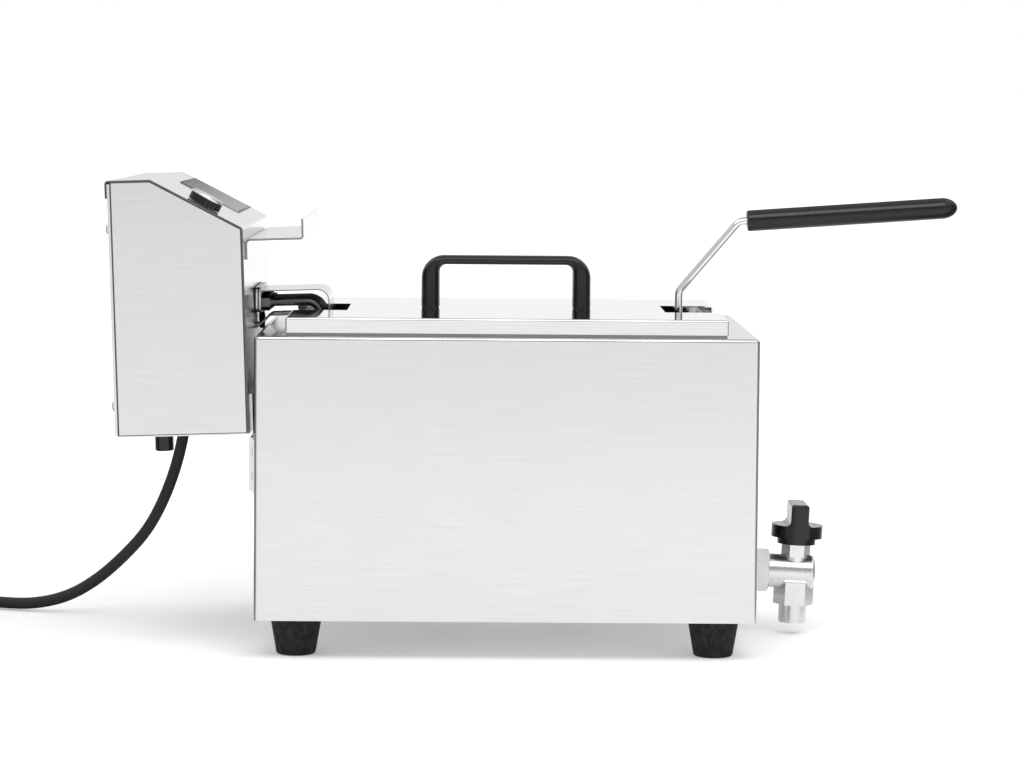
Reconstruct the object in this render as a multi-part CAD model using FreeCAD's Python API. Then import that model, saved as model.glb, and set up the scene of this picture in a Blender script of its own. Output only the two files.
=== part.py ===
import FreeCAD, Part
import math
import os

V = FreeCAD.Vector
X_AXIS = V(1, 0, 0)
Y_AXIS = V(0, 1, 0)
Z_AXIS = V(0, 0, 1)

# Countertop electric deep fryer, millimetres, +Z up, front (drain tap) to +X
# X is counted from the middle of the casing, and the finished part is moved by ORIGIN_X

# Sheet and clearances
SHEET = 1.0
SEAT = 0.05
FIT = 0.1
EASY_FIT = 0.3
RUN_FIT = 0.05

# Casing, feet and base
FOOT_H = 29.2
FOOT_TOP_R = 19.25
FOOT_LOW_R = 14.25
FOOT_INSET_X = 29.0
FOOT_INSET_Y = 35.0
FOOT_ROUND = 2.5
FOOT_RECESS_R = 7.0
FOOT_RECESS_H = 18.0
FOOT_SCREW_R = 2.5
FOOT_SCREW_HEAD_R = 5.0
FOOT_SCREW_HEAD_H = 3.5
FOOT_SCREW_REACH = 6.0
BODY_W = 280.0
BODY_H = 206.0
BODY_CORNER = 4.0
BODY_TOP_BEND = 2.5
VENT_L = 46.0
VENT_W = 5.0
VENT_PITCH = 14.0
VENT_ROWS = 5

# Oil tank
TANK_W = 226.0
TANK_FLOOR_Z = 40.0
TANK_CORNER = 22.0
TANK_FLOOR_BEND = 9.0
TANK_FLANGE = 8.0
TANK_X = 0.0

# Rear ridge and receiver for the control head
RIDGE_W = 10.0
RIDGE_H = 5.0
RIDGE_L = 186.0
RIDGE_INSET = 1.0
BRACKET_GAP = 3.6
BRACKET_T = 1.2
BRACKET_W = 236.0
BRACKET_EAR = 14.0
BRACKET_Z0 = 121.0
BRACKET_H = 39.0
RIVET_R = 2.0
RIVET_HEAD_R = 3.8
RIVET_HEAD_H = 1.2
RIVET_REACH = 4.0
RIVET_LEVELS = (0.3, 0.75)

# Lid
LID_L = 320.0
LID_W = 254.0
LID_INSET = 22.0
LID_OVER = 10.0
LID_TOP = 248.1
LID_SKIRT = 11.0
LID_BEND = 1.6
NOTCH_W = 80.0
NOTCH_L = 41.0
PAD_W = 2.6
HANDLE_PITCH = 114.5
HANDLE_H = 40.0
HANDLE_LEG = 14.0
HANDLE_BAR = 7.0
HANDLE_W = 20.0
HANDLE_OUT_R = 17.0
HANDLE_IN_R = 5.0
HANDLE_EDGE = 3.3
HANDLE_PAD_T = 1.5
HANDLE_PAD_IN = 0.5
HANDLE_SCREW_R = 2.0
HANDLE_SCREW_REACH = 13.0
HANDLE_SCREW_HEAD_R = 4.0
HANDLE_SCREW_HEAD_H = 2.4

# Basket
BASKET_LESS = 81.0
BASKET_W = 200.0
BASKET_H = 120.0
RIM_R = 2.5
RIM_ROUND = 2.37
MESH_T = 1.6
MESH_PITCH = 24.0
MESH_WIRE = 2.4
ROD_R = 3.0
ROD_BACK = 28.8
ROD_ABOVE_LID = 14.0
ROD_SLANT = 49.7
ROD_BEND = 9.0
ROD_IN_GRIP = 42.0
GRIP_R = 8.0
GRIP_L = 160.2
GRIP_RISE = 4.1
GRIP_PAST = 6.08
GRIP_Z = 315.5
GRIP_NOSE = 6.5
GRIP_NEAR_ROUND = 2.0

# Control head, in its own upright frame: x from the front face, z from the underside
HEAD_BEHIND = 3.5
HEAD_Z = 165.0
HEAD_LEAN = 1.85
HEAD_D = 93.8
HEAD_W = 271.0
HEAD_REAR_H = 183.7
HEAD_FRONT_H = 147.6
HEAD_TOP_D = 28.6
HEAD_BEND = 1.6
SIDE_REVEAL = 0.5
SIDE_SINK = 0.4
COVER_OFF = 1.7
LIP_H = 13.0
LIP_OFF = 3.1
COVER_FLANGE = 8.0
COVER_SCREW_R = 1.6
COVER_SCREW_HEAD_R = 4.0
COVER_SCREW_HEAD_H = 2.4
COVER_SCREW_IN = 14.0
COVER_SCREW_LOW = 21.0
COVER_SCREW_HIGH = 149.0
COVER_SCREW_REACH = 6.0

# Panel overlay and thermostat knob on the slope
OVERLAY_W = 130.0
OVERLAY_L = 50.0
OVERLAY_T = 0.6
OVERLAY_IN = 72.5
OVERLAY_ALONG = -1.4
KNOB_IN = 23.5
KNOB_ALONG = 3.6
KNOB_R = 12.2
KNOB_H = 5.6
KNOB_LIFT = 0.5
KNOB_CAP_ROUND = 1.4
KNOB_CAP_T = 2.2
KNOB_MARK_W = 1.6
KNOB_MARK_T = 0.8
KNOB_MARK_L = 8.0
KNOB_RIBS = 24
KNOB_RIB_R = 0.6
KNOB_BORE = 4.4
SHAFT_R = 3.0
SHAFT_IN = 9.0
THERMOSTAT_SIDE = 38.0
THERMOSTAT_H = 24.0

# Cut-out with its reset button and screw cap under the head
RESET_X = -66.0
RESET_IN = 50.5
CUTOUT_SIDE = 34.0
CUTOUT_H = 26.0
NECK_R = 5.0
NECK_L = 9.0
BUTTON_R = 2.4
BUTTON_OUT = 2.5
BUTTON_IN = 12.0
BUTTON_TRAVEL = 2.0
CAP_R = 6.8
CAP_L = 15.0
CAP_ROUND = 1.2
CAP_WALL_TOP = 2.0

# Other fittings inside the head
TERMINAL_L = 52.0
TERMINAL_D = 20.0
TERMINAL_H = 16.0
TERMINAL_X = -40.0
TERMINAL_Y = 40.0
TERMINAL_WAYS = 5
CONTACTOR_L = 45.0
CONTACTOR_D = 40.0
CONTACTOR_H = 52.0
CONTACTOR_X = -42.0
CONTACTOR_Y = -25.0
CONTACTOR_STEP_D = 10.0
CONTACTOR_STEP_H = 17.0

# Hang tongue and locating peg
TONGUE_T = 1.2
TONGUE_LESS = 16.0
TONGUE_DOWN = 39.0
TONGUE_UP = 26.0
PEG_R = 2.5
PEG_TIP_R = 1.9
PEG_L = 14.0

# Heater flange, tubes, glands and cover
FLANGE_T = 4.0
FLANGE_GASKET = 1.0
FLANGE_Z = 80.5
FLANGE_H = 19.0
FLANGE_W = 76.0
FLANGE_ROUND = 4.0
TUBE_R = 3.2
TUBE_Z = 87.5
TUBE_IN = 14.0
TUBE_REACH = 49.0
TUBE_BEND = 11.0
TUBE_Y_INNER = 8.0
TUBE_Y_OUTER = 24.0
RUN_Y_OUTER = 80.0
RUN_CORNER = 14.0
RUN_CLEAR = 16.0
ELEMENT_Z = 60.0
GLAND_NUT_AF = 11.0
GLAND_NUT_T = 6.0
GLAND_COLLAR_R = 4.5
GLAND_COLLAR_T = 2.5
COVER_T = 0.8
COVER_Z = 97.0
COVER_X = 56.0
COVER_DOWN = 66.0
COVER_BEND = 9.0
COVER_W = 72.0

# Sensor bulbs, capillaries and clip bars
CAPILLARY_R = 0.9
CAPILLARY_Z = 69.0
CAPILLARY_RISE = 8.5
CAPILLARY_RISE_X = 10.0
CAPILLARY_DROP_X = 43.6
CAPILLARY_BEND = 5.0
SENSOR_Y = 16.0
BULB_R = 3.0
BULB_L = 90.0
BULB_AHEAD = 81.5
BAR_T = 2.0
BAR_OVER = 9.0
BAR_UNDER = 6.0
BAR_W = 176.0
BAR_REAR_X = -60.0
BAR_FRONT_X = 72.0

# Basket hanger on the head's front
HANGER_T = 1.5
HANGER_Z = 124.0
HANGER_FLANGE = 13.5
HANGER_REACH = 42.5
HANGER_UP = 15.0
HANGER_LESS = 37.0
HANGER_BEND = 2.5

# Drain and tap, in their own frame: x out along the drain from the casing's front
DRAIN_Z = 49.4
DRAIN_FALL = 2.5
PIPE_R = 8.3
PIPE_BORE_R = 6.2
PIPE_IN = 6.0
PIPE_OUT = 26.0
NUT_T = 20.1
NUT_AF = 31.0
NUT_TURN = 16.0
NUT_GASKET_T = 1.5
NUT_GASKET_R = 15.0
COLLAR_R = 12.85
COLLAR_T = 2.2
TAP_R = 13.0
TAP_L = 33.0
TAP_NOSE = 3.0
TAP_AXIS_X = 40.6
TAP_BORE_R = 6.5
PLUG_R = 8.0
PLUG_H = 19.0
BONNET_R = 9.8
BONNET_AF = 19.0
BONNET_TOP = 21.4
BONNET_HEX_H = 9.4
STEM_R = 4.0
OUTLET_AF = 26.4
OUTLET_TOP = 10.5
OUTLET_LOW = 24.8
SPOUT_R = 10.48
SPOUT_BORE_R = 7.5
SPOUT_LOW = 38.6
SPOUT_NECK = 6.0
GRIP_SKIRT_R = 14.6
GRIP_SKIRT_H = 5.1
GRIP_DISC_R = 19.5
GRIP_DISC_H = 9.5
GRIP_FIN_T = 13.5
GRIP_FIN_H = 16.7
GRIP_FIN_ROUND = 4.0
GRIP_BORE = 14.0
GRIP_GAP = 0.5

# Mains cord, its coil and its plug
CORD_R = 4.5
GLAND_X = -62.0
CORD_IN = 75.5
GLAND_NUT_R = 11.0
GLAND_NUT_H = 5.0
GLAND_INNER_R = 8.0
GLAND_IN = 9.0
GLAND_LOW_R = 6.0
GLAND_L = 14.0
GLAND_TILT = 10.0
CORD_LEAD = 20.0
CORD_LAST = 26.0
CORD_BEND_SHARE = 0.45
CORD_STEPS = ((79.5, 2.0, 93.0), (93.5, 6.0, 67.0), (112.5, 11.0, 46.0), (133.5, 15.5, 27.0),
              (157.5, 20.5, 12.5), (184.5, 25.5, 5.8), (210.5, 33.5, 5.3))
COIL_BACK = 261.5
COIL_BESIDE = 52.0
COIL_R = 60.0
COIL_STEP = 9.7
COIL_TURNS_FLAT = 1.75
COIL_TURNS_CLIMB = 0.5
COIL_STATIONS = 4
COIL_NUDGE = 0.001
COIL_SAMPLES = 60
COIL_HEADING = 161.0
COIL_TAIL = 60.0
TIE_T = 1.2
TIE_GAP = 0.6
TIE_W = 10.0
TIE_ROUND = 3.0
PLUG_BODY_R = 15.5
PLUG_BODY_L = 34.0
PLUG_NECK_L = 16.0
PLUG_NECK_R = 7.0
PLUG_PIN_R = 2.4
PLUG_PIN_L = 19.0
PLUG_PIN_GAP = 19.0
PLUG_PIN_IN = 6.0
PLUG_EDGE = 3.0

# Places worked out from the driving sizes
BODY_L = LID_L + 2 * LID_INSET
BODY_FLOOR = FOOT_H
BODY_TOP = FOOT_H + BODY_H
FRONT_X = BODY_L / 2
REAR_X = -BODY_L / 2
TANK_L = LID_L - 2 * LID_OVER
LID_X = TANK_X
LID_UNDER = LID_TOP - SHEET
SKIRT_Z = LID_TOP - LID_SKIRT
ROD_X = LID_X + LID_L / 2 - ROD_BACK
KNEE_Z = LID_TOP + ROD_ABOVE_LID
ELBOW_Z = GRIP_Z - GRIP_PAST * math.tan(math.radians(GRIP_RISE))
ELBOW_X = ROD_X + (ELBOW_Z - KNEE_Z) / math.tan(math.radians(ROD_SLANT))
GRIP_X = ELBOW_X + GRIP_PAST
BASKET_L = LID_L - BASKET_LESS
BASKET_FRONT = ROD_X - ROD_R - RIM_R - FIT
BASKET_X = BASKET_FRONT - BASKET_L / 2
BASKET_Z = ELEMENT_Z + BAR_OVER + EASY_FIT
BASKET_TOP = BASKET_Z + BASKET_H
HEAD_X = REAR_X - HEAD_BEHIND
OVERLAY_Y = HEAD_W / 2 - OVERLAY_IN
KNOB_Y = KNOB_IN - HEAD_W / 2
RESET_Y = RESET_IN - HEAD_W / 2
HANGER_W = HEAD_W - HANGER_LESS
CORD_Y = HEAD_W / 2 - CORD_IN
RUN_FRONT_X = TANK_X + TANK_L / 2 - RUN_CLEAR
BULB_X = HEAD_X + BULB_AHEAD
SLOPE_RUN = HEAD_D - HEAD_TOP_D
SLOPE_FALL = HEAD_REAR_H - HEAD_FRONT_H
SLOPE_ANGLE = math.degrees(math.atan2(SLOPE_FALL, SLOPE_RUN))
LEAN = math.radians(HEAD_LEAN)
NUT_LIFT = NUT_GASKET_R * math.tan(math.radians(DRAIN_FALL)) + SEAT


def leaned(x, y, z):
    """Place of a point of the upright head frame on the leaning head."""
    return V(HEAD_X + x * math.cos(LEAN) - z * math.sin(LEAN), y,
             HEAD_Z + x * math.sin(LEAN) + z * math.cos(LEAN))


def lean(shape):
    """Move a shape from the upright head frame to the leaning head."""
    turned = shape.copy()
    turned.rotate(V(0, 0, 0), Y_AXIS, -HEAD_LEAN)
    turned.translate(V(HEAD_X, 0, HEAD_Z))
    return turned


def on_drain(shape):
    """Move a shape from the drain's frame to the casing's front, with the drain's fall."""
    turned = shape.copy()
    turned.rotate(V(0, 0, 0), Y_AXIS, DRAIN_FALL)
    turned.translate(V(FRONT_X, 0, DRAIN_Z))
    return turned


def on_slope(shape, y, down):
    """Move a shape with +Z out of its base to the sloped panel, some way down from its middle."""
    turned = shape.copy()
    turned.translate(V(down, 0, 0))
    turned.rotate(V(0, 0, 0), Y_AXIS, SLOPE_ANGLE)
    turned.translate(V(-SLOPE_RUN / 2, y, (HEAD_REAR_H + HEAD_FRONT_H) / 2))
    return lean(turned)


def block(x0, x1, y0, y1, z0, z1):
    return Part.makeBox(x1 - x0, y1 - y0, z1 - z0, V(x0, y0, z0))


def middle_block(x0, x1, width, z0, z1):
    return block(x0, x1, -width / 2, width / 2, z0, z1)


def rounded_block(length, width, z0, z1, corner, x=0.0):
    """Upright block about the Z axis with round vertical edges."""
    body = block(x - length / 2, x + length / 2, -width / 2, width / 2, z0, z1)
    upright = [e for e in body.Edges if abs(e.BoundBox.ZLength - (z1 - z0)) < SEAT]
    return body.makeFillet(corner, upright)


def edges_at(shape, z):
    return [e for e in shape.Edges if abs(e.BoundBox.ZMin - z) < SEAT and abs(e.BoundBox.ZMax - z) < SEAT]


def hexagon(across_flats, x0, x1, axis):
    """Hexagonal prism along an axis through the origin."""
    corner = across_flats / math.sqrt(3)
    side = V(0, 0, 1) if axis != Z_AXIS else V(1, 0, 0)
    turn = FreeCAD.Rotation(axis, 60)
    points = [side * corner]
    for _ in range(6):
        points.append(turn.multVec(points[-1]))
    face = Part.Face(Part.makePolygon([p + axis * x0 for p in points]))
    return face.extrude(axis * (x1 - x0))


def spun(points, axis=Z_AXIS):
    """Solid of revolution from (radius, height) points along an axis through the origin."""
    outline = [V(r, 0, h) for r, h in points]
    face = Part.Face(Part.makePolygon(outline + outline[:1]))
    solid = face.revolve(V(0, 0, 0), Z_AXIS, 360)
    if axis != Z_AXIS:
        solid.Placement = FreeCAD.Placement(V(0, 0, 0), FreeCAD.Rotation(Z_AXIS, axis))
    return solid


def corner_arc(before, corner, after, radius):
    """Start, middle and end of the tangent arc that rounds a corner."""
    toward = (corner - before).normalize()
    away = (after - corner).normalize()
    half = toward.getAngle(away) / 2
    trim = radius * math.tan(half)
    inward = (away - toward).normalize()
    centre = corner + inward * (radius / math.cos(half))
    return corner - toward * trim, centre - inward * radius, corner + away * trim


def path_edges(points, radii):
    """Straight runs joined by tangent arcs, one radius for each inner point."""
    edges = []
    start = points[0]
    for i, radius in enumerate(radii):
        a, m, b = corner_arc(points[i], points[i + 1], points[i + 2], radius)
        if (a - start).Length > SEAT:
            edges.append(Part.LineSegment(start, a).toShape())
        else:
            a = start
        edges.append(Part.Arc(a, m, b).toShape())
        start = b
    edges.append(Part.LineSegment(start, points[-1]).toShape())
    return edges


def swept(edges, radius, start, direction):
    path = Part.Wire(edges)
    ring = Part.Wire([Part.makeCircle(radius, start, direction)])
    return path.makePipeShell([ring], True, False)


def tube(points, radius, radii):
    """Round tube along straight runs and tangent arcs."""
    return swept(path_edges(points, radii), radius, points[0], points[1] - points[0])


def bent_sheet(points, thickness, radius, width):
    """Sheet bent along (x, z) points, thickened to the left of its run and centred on Y."""
    route = [V(x, 0, z) for x, z in points]
    near = []
    far = []

    def side(direction):
        return Y_AXIS.cross(direction).normalize() * -thickness

    start = route[0]
    heading = route[1] - route[0]
    for i in range(1, len(route) - 1):
        a, m, b = corner_arc(route[i - 1], route[i], route[i + 1], radius)
        onward = (route[i + 1] - route[i]).normalize()
        half_way = heading.normalize() + onward
        near += [Part.LineSegment(start, a), Part.Arc(a, m, b)]
        far += [Part.LineSegment(start + side(heading), a + side(heading)),
                Part.Arc(a + side(heading), m + side(half_way), b + side(onward))]
        start = b
        heading = onward
    near.append(Part.LineSegment(start, route[-1]))
    far.append(Part.LineSegment(start + side(heading), route[-1] + side(heading)))
    first = (route[1] - route[0]).normalize()
    ends = [Part.LineSegment(route[0], route[0] + side(first)),
            Part.LineSegment(route[-1], route[-1] + side(heading))]
    edges = Part.sortEdges([g.toShape() for g in near + far + ends])[0]
    face = Part.Face(Part.Wire(edges))
    face.translate(V(0, -width / 2, 0))
    return face.extrude(V(0, width, 0))


def screw(head_r, head_h, shank_r, reach):
    """Pan-head screw, head above z = 0 and shank below."""
    dome = spun([(0, 0), (head_r, 0), (head_r, head_h / 2), (head_r - head_h / 2, head_h), (0, head_h)])
    return dome.fuse(Part.makeCylinder(shank_r, reach, V(0, 0, -reach))).removeSplitter()


def along(shape, direction, place):
    """Turn a shape's +Z to a direction and move it to a place."""
    moved = shape.copy()
    moved.Placement = FreeCAD.Placement(place, FreeCAD.Rotation(Z_AXIS, direction))
    return moved


def foot_places():
    return [(sx * (BODY_L / 2 - FOOT_INSET_X), sy * (BODY_W / 2 - FOOT_INSET_Y))
            for sx in (-1, 1) for sy in (-1, 1)]


def rivet_places():
    lane = BRACKET_W / 2 + BRACKET_EAR / 2
    levels = [BRACKET_Z0 + BRACKET_H * share for share in RIVET_LEVELS]
    return [(sy * lane, z) for sy in (-1, 1) for z in levels]


def body_shell():
    outer = rounded_block(BODY_L, BODY_W, BODY_FLOOR, BODY_TOP, BODY_CORNER)
    outer = outer.makeFillet(BODY_TOP_BEND, edges_at(outer, BODY_TOP))
    inner = rounded_block(BODY_L - 2 * SHEET, BODY_W - 2 * SHEET, BODY_FLOOR - SHEET, BODY_TOP - SHEET,
                          BODY_CORNER - SHEET)
    shell = outer.cut(inner)
    mouth = rounded_block(TANK_L + 2 * SHEET + 2 * EASY_FIT, TANK_W + 2 * SHEET + 2 * EASY_FIT,
                          BODY_TOP - 2 * SHEET, BODY_TOP + SHEET, TANK_CORNER + SHEET + EASY_FIT, TANK_X)
    pipe_hole = on_drain(Part.makeCylinder(PIPE_R + EASY_FIT, 2 * FOOT_H, V(-FOOT_H, 0, 0), X_AXIS))
    cutters = [mouth, pipe_hole]
    for y, z in rivet_places():
        cutters.append(Part.makeCylinder(RIVET_R + FIT, 2 * FOOT_H, V(REAR_X - FOOT_H, y, z), X_AXIS))
    return shell.cut(cutters)


def base_plate():
    gap = SHEET + EASY_FIT
    plate = rounded_block(BODY_L - 2 * gap, BODY_W - 2 * gap, BODY_FLOOR, BODY_FLOOR + SHEET,
                          BODY_CORNER - SHEET)
    cutters = [Part.makeCylinder(FOOT_SCREW_R + FIT, FOOT_H, V(x, y, BODY_FLOOR - FOOT_H / 2))
               for x, y in foot_places()]
    for row in range(VENT_ROWS):
        y = (row - (VENT_ROWS - 1) / 2) * VENT_PITCH
        for sx in (-1, 1):
            slot = rounded_block(VENT_L, VENT_W, BODY_FLOOR - SHEET, BODY_FLOOR + 2 * SHEET,
                                 VENT_W / 2 - SEAT)
            slot.translate(V(sx * VENT_L, y, 0))
            cutters.append(slot)
    return plate.cut(cutters)


def foot(x, y):
    cone = spun([(0, 0), (FOOT_LOW_R, 0), (FOOT_TOP_R, FOOT_H), (0, FOOT_H)])
    cone = cone.makeFillet(FOOT_ROUND, edges_at(cone, 0))
    recess = Part.makeCylinder(FOOT_RECESS_R, FOOT_RECESS_H, V(0, 0, 0))
    hole = Part.makeCylinder(FOOT_SCREW_R + FIT, FOOT_H)
    solid = cone.cut([recess, hole])
    solid.translate(V(x, y, 0))
    return solid


def foot_screw(x, y):
    reach = FOOT_H - FOOT_RECESS_H + SHEET + FOOT_SCREW_REACH
    solid = screw(FOOT_SCREW_HEAD_R, FOOT_SCREW_HEAD_H, FOOT_SCREW_R, reach)
    return along(solid, V(0, 0, -1), V(x, y, FOOT_RECESS_H))


def oil_tank():
    outer = rounded_block(TANK_L + 2 * SHEET, TANK_W + 2 * SHEET, TANK_FLOOR_Z - SHEET, BODY_TOP + SHEET,
                          TANK_CORNER + SHEET, TANK_X)
    outer = outer.makeFillet(TANK_FLOOR_BEND + SHEET, edges_at(outer, TANK_FLOOR_Z - SHEET))
    flange = rounded_block(TANK_L + 2 * SHEET + 2 * TANK_FLANGE, TANK_W + 2 * SHEET + 2 * TANK_FLANGE,
                           BODY_TOP, BODY_TOP + SHEET, TANK_CORNER + SHEET + TANK_FLANGE, TANK_X)
    inner = rounded_block(TANK_L, TANK_W, TANK_FLOOR_Z, BODY_TOP + 2 * SHEET, TANK_CORNER, TANK_X)
    inner = inner.makeFillet(TANK_FLOOR_BEND, edges_at(inner, TANK_FLOOR_Z))
    hole = on_drain(Part.makeCylinder(PIPE_R + SEAT, BODY_L, V(-BODY_L / 2, 0, 0), X_AXIS))
    return outer.fuse(flange).removeSplitter().cut([inner, hole])


def rear_ridge():
    x0 = REAR_X + RIDGE_INSET + BODY_TOP_BEND
    points = [V(x0, 0, BODY_TOP), V(x0 + RIDGE_W / 2, 0, BODY_TOP + RIDGE_H), V(x0 + RIDGE_W, 0, BODY_TOP),
              V(x0, 0, BODY_TOP)]
    face = Part.Face(Part.makePolygon(points))
    face.translate(V(0, -RIDGE_L / 2, 0))
    return face.extrude(V(0, RIDGE_L, 0))


def head_bracket():
    """Hat-section receiver on the casing's back, open above for the head's tongue."""
    z1 = BRACKET_Z0 + BRACKET_H
    wide = BRACKET_W / 2 + BRACKET_T
    deep = BRACKET_GAP + BRACKET_T
    hat = block(REAR_X - deep, REAR_X, -wide, wide, BRACKET_Z0, z1)
    hollow = middle_block(REAR_X - BRACKET_GAP, REAR_X + SHEET, BRACKET_W, BRACKET_Z0 + BRACKET_T,
                          z1 + SHEET)
    low = [e for e in hat.Edges if abs(e.BoundBox.XMax - (REAR_X - deep)) < SEAT
           and abs(e.BoundBox.ZMax - BRACKET_Z0) < SEAT]
    hat = hat.makeChamfer(BRACKET_T - SEAT, low).cut(hollow)
    ears = [block(REAR_X - BRACKET_T, REAR_X, sy * wide - BRACKET_EAR / 2, sy * wide + BRACKET_EAR / 2,
                  BRACKET_Z0, z1) for sy in (-1, 1)]
    for ear, sy in zip(ears, (-1, 1)):
        ear.translate(V(0, sy * BRACKET_EAR / 2, 0))
    solid = hat.fuse(ears).removeSplitter()
    holes = [Part.makeCylinder(RIVET_R + FIT, BRACKET_EAR, V(REAR_X - BRACKET_EAR / 2, y, z), X_AXIS)
             for y, z in rivet_places()]
    return solid.cut(holes)


def bracket_rivet(y, z):
    solid = screw(RIVET_HEAD_R, RIVET_HEAD_H, RIVET_R, BRACKET_T + SHEET + RIVET_REACH)
    return along(solid, V(-1, 0, 0), V(REAR_X - BRACKET_T, y, z))


def lid_panel():
    half = LID_L / 2
    low = SKIRT_Z - SHEET
    high = LID_TOP + SHEET
    outer = middle_block(-half, half, LID_W, SKIRT_Z, LID_TOP)
    rim = [e for e in outer.Edges if e.BoundBox.ZMax > SKIRT_Z + SEAT]
    outer = outer.makeFillet(LID_BEND, rim)
    inner = middle_block(SHEET - half, half - SHEET, LID_W - 2 * SHEET, low, LID_UNDER)
    notches = [middle_block(half - NOTCH_L, half + SHEET, NOTCH_W, low, high),
               middle_block(-half - SHEET, NOTCH_L - half, NOTCH_W, low, high)]
    holes = [Part.makeCylinder(HANDLE_SCREW_R + FIT, LID_SKIRT, V(sx * HANDLE_PITCH / 2, 0, SKIRT_Z + SHEET))
             for sx in (-1, 1)]
    solid = outer.cut([inner] + notches + holes)
    solid.translate(V(LID_X, 0, 0))
    return solid


def lid_pad(sy):
    """Rubber strip under a long edge of the lid's skirt, which keeps the lid off the rim."""
    pad = rounded_block(LID_L - 2 * SHEET, PAD_W, BODY_TOP, SKIRT_Z, PAD_W / 2 - SEAT, LID_X)
    pad.translate(V(0, sy * (LID_W / 2 - PAD_W / 2), 0))
    return pad


def lid_handle_pad(sx):
    half = HANDLE_LEG / 2 - HANDLE_PAD_IN
    x = LID_X + sx * HANDLE_PITCH / 2
    pad = rounded_block(2 * half, HANDLE_W - 2 * HANDLE_PAD_IN, LID_TOP, LID_TOP + HANDLE_PAD_T,
                        HANDLE_EDGE, x)
    return pad.cut(Part.makeCylinder(HANDLE_SCREW_R + FIT, HANDLE_H, V(x, 0, LID_TOP - HANDLE_H / 2)))


def lid_handle():
    """Bow handle: two legs and a bar from one bent outline."""
    base = LID_TOP + HANDLE_PAD_T
    top = LID_TOP + HANDLE_H
    out_x = (HANDLE_PITCH + HANDLE_LEG) / 2
    in_x = (HANDLE_PITCH - HANDLE_LEG) / 2
    outer = middle_block(-out_x, out_x, HANDLE_W, base, top)
    outer = outer.makeFillet(HANDLE_OUT_R, [e for e in edges_at(outer, top) if e.BoundBox.XLength < SEAT])
    inner = middle_block(-in_x, in_x, HANDLE_W + 2 * SHEET, base - HANDLE_H, top - HANDLE_BAR)
    inner = inner.makeFillet(HANDLE_IN_R, [e for e in edges_at(inner, top - HANDLE_BAR)
                                           if e.BoundBox.XLength < SEAT])
    bow = outer.cut(inner)
    sides = [e for e in bow.Edges if e.BoundBox.YLength < SEAT and e.BoundBox.ZMax > base + SEAT]
    bow = bow.makeFillet(HANDLE_EDGE, sides)
    depth = HANDLE_SCREW_REACH + SHEET
    holes = [Part.makeCylinder(HANDLE_SCREW_R + SEAT, depth, V(sx * HANDLE_PITCH / 2, 0, base))
             for sx in (-1, 1)]
    bow = bow.cut(holes)
    bow.translate(V(LID_X, 0, 0))
    return bow


def lid_handle_screw(sx):
    solid = screw(HANDLE_SCREW_HEAD_R, HANDLE_SCREW_HEAD_H, HANDLE_SCREW_R,
                  SHEET + HANDLE_PAD_T + HANDLE_SCREW_REACH)
    return along(solid, V(0, 0, -1), V(LID_X + sx * HANDLE_PITCH / 2, 0, LID_UNDER))


def mesh_sheet(length, width):
    """Welded mesh panel about the origin in the XY plane: one holed face made thick."""
    columns = int(length // MESH_PITCH)
    rows = int(width // MESH_PITCH)
    step_x = length / columns
    step_y = width / rows
    outline = Part.makePolygon([V(-length / 2, -width / 2, 0), V(length / 2, -width / 2, 0),
                                V(length / 2, width / 2, 0), V(-length / 2, width / 2, 0),
                                V(-length / 2, -width / 2, 0)])
    half_x = (step_x - MESH_WIRE) / 2
    half_y = (step_y - MESH_WIRE) / 2
    holes = []
    for i in range(columns):
        for j in range(rows):
            x = (i + 0.5) * step_x - length / 2
            y = (j + 0.5) * step_y - width / 2
            holes.append(Part.makePolygon([V(x - half_x, y - half_y, 0), V(x - half_x, y + half_y, 0),
                                           V(x + half_x, y + half_y, 0), V(x + half_x, y - half_y, 0),
                                           V(x - half_x, y - half_y, 0)]))
    face = Part.Face([outline] + holes)
    return face.extrude(V(0, 0, MESH_T))


def mesh_size():
    """Outer length and width of the mesh tub inside the basket's frame rods."""
    return BASKET_L - 2 * RIM_R - 2 * SEAT, BASKET_W - 2 * RIM_R - 2 * SEAT


def mesh_bottom():
    length, width = mesh_size()
    panel = mesh_sheet(length, width)
    panel.translate(V(BASKET_X, 0, BASKET_Z))
    return panel


def mesh_end(sx):
    length, width = mesh_size()
    panel = mesh_sheet(BASKET_H - MESH_T, width - 2 * MESH_T - 2 * SEAT)
    panel.rotate(V(0, 0, 0), Y_AXIS, 90)
    shift = length / 2 - MESH_T if sx > 0 else -length / 2
    panel.translate(V(BASKET_X + shift, 0, BASKET_Z + MESH_T + (BASKET_H - MESH_T) / 2))
    return panel


def mesh_side(sy):
    length, width = mesh_size()
    panel = mesh_sheet(length, BASKET_H - MESH_T)
    panel.rotate(V(0, 0, 0), X_AXIS, 90)
    shift = width / 2 if sy > 0 else MESH_T - width / 2
    panel.translate(V(BASKET_X, shift, BASKET_Z + MESH_T + (BASKET_H - MESH_T) / 2))
    return panel


def basket_frame(z):
    """Closed frame rod round the outside of the mesh tub, with square-set mitred corners."""
    outer = block(-BASKET_L / 2 - RIM_R, BASKET_L / 2 + RIM_R, -BASKET_W / 2 - RIM_R, BASKET_W / 2 + RIM_R,
                  z - RIM_R, z + RIM_R)
    outer = outer.makeFillet(RIM_ROUND, outer.Edges)
    inner = block(RIM_R - BASKET_L / 2, BASKET_L / 2 - RIM_R, RIM_R - BASKET_W / 2, BASKET_W / 2 - RIM_R,
                  z - 2 * RIM_R, z + 2 * RIM_R)
    ring = outer.cut(inner)
    ring.translate(V(BASKET_X, 0, 0))
    return ring


def grip_axis():
    rise = math.radians(GRIP_RISE)
    return V(math.cos(rise), 0, math.sin(rise))


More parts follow.
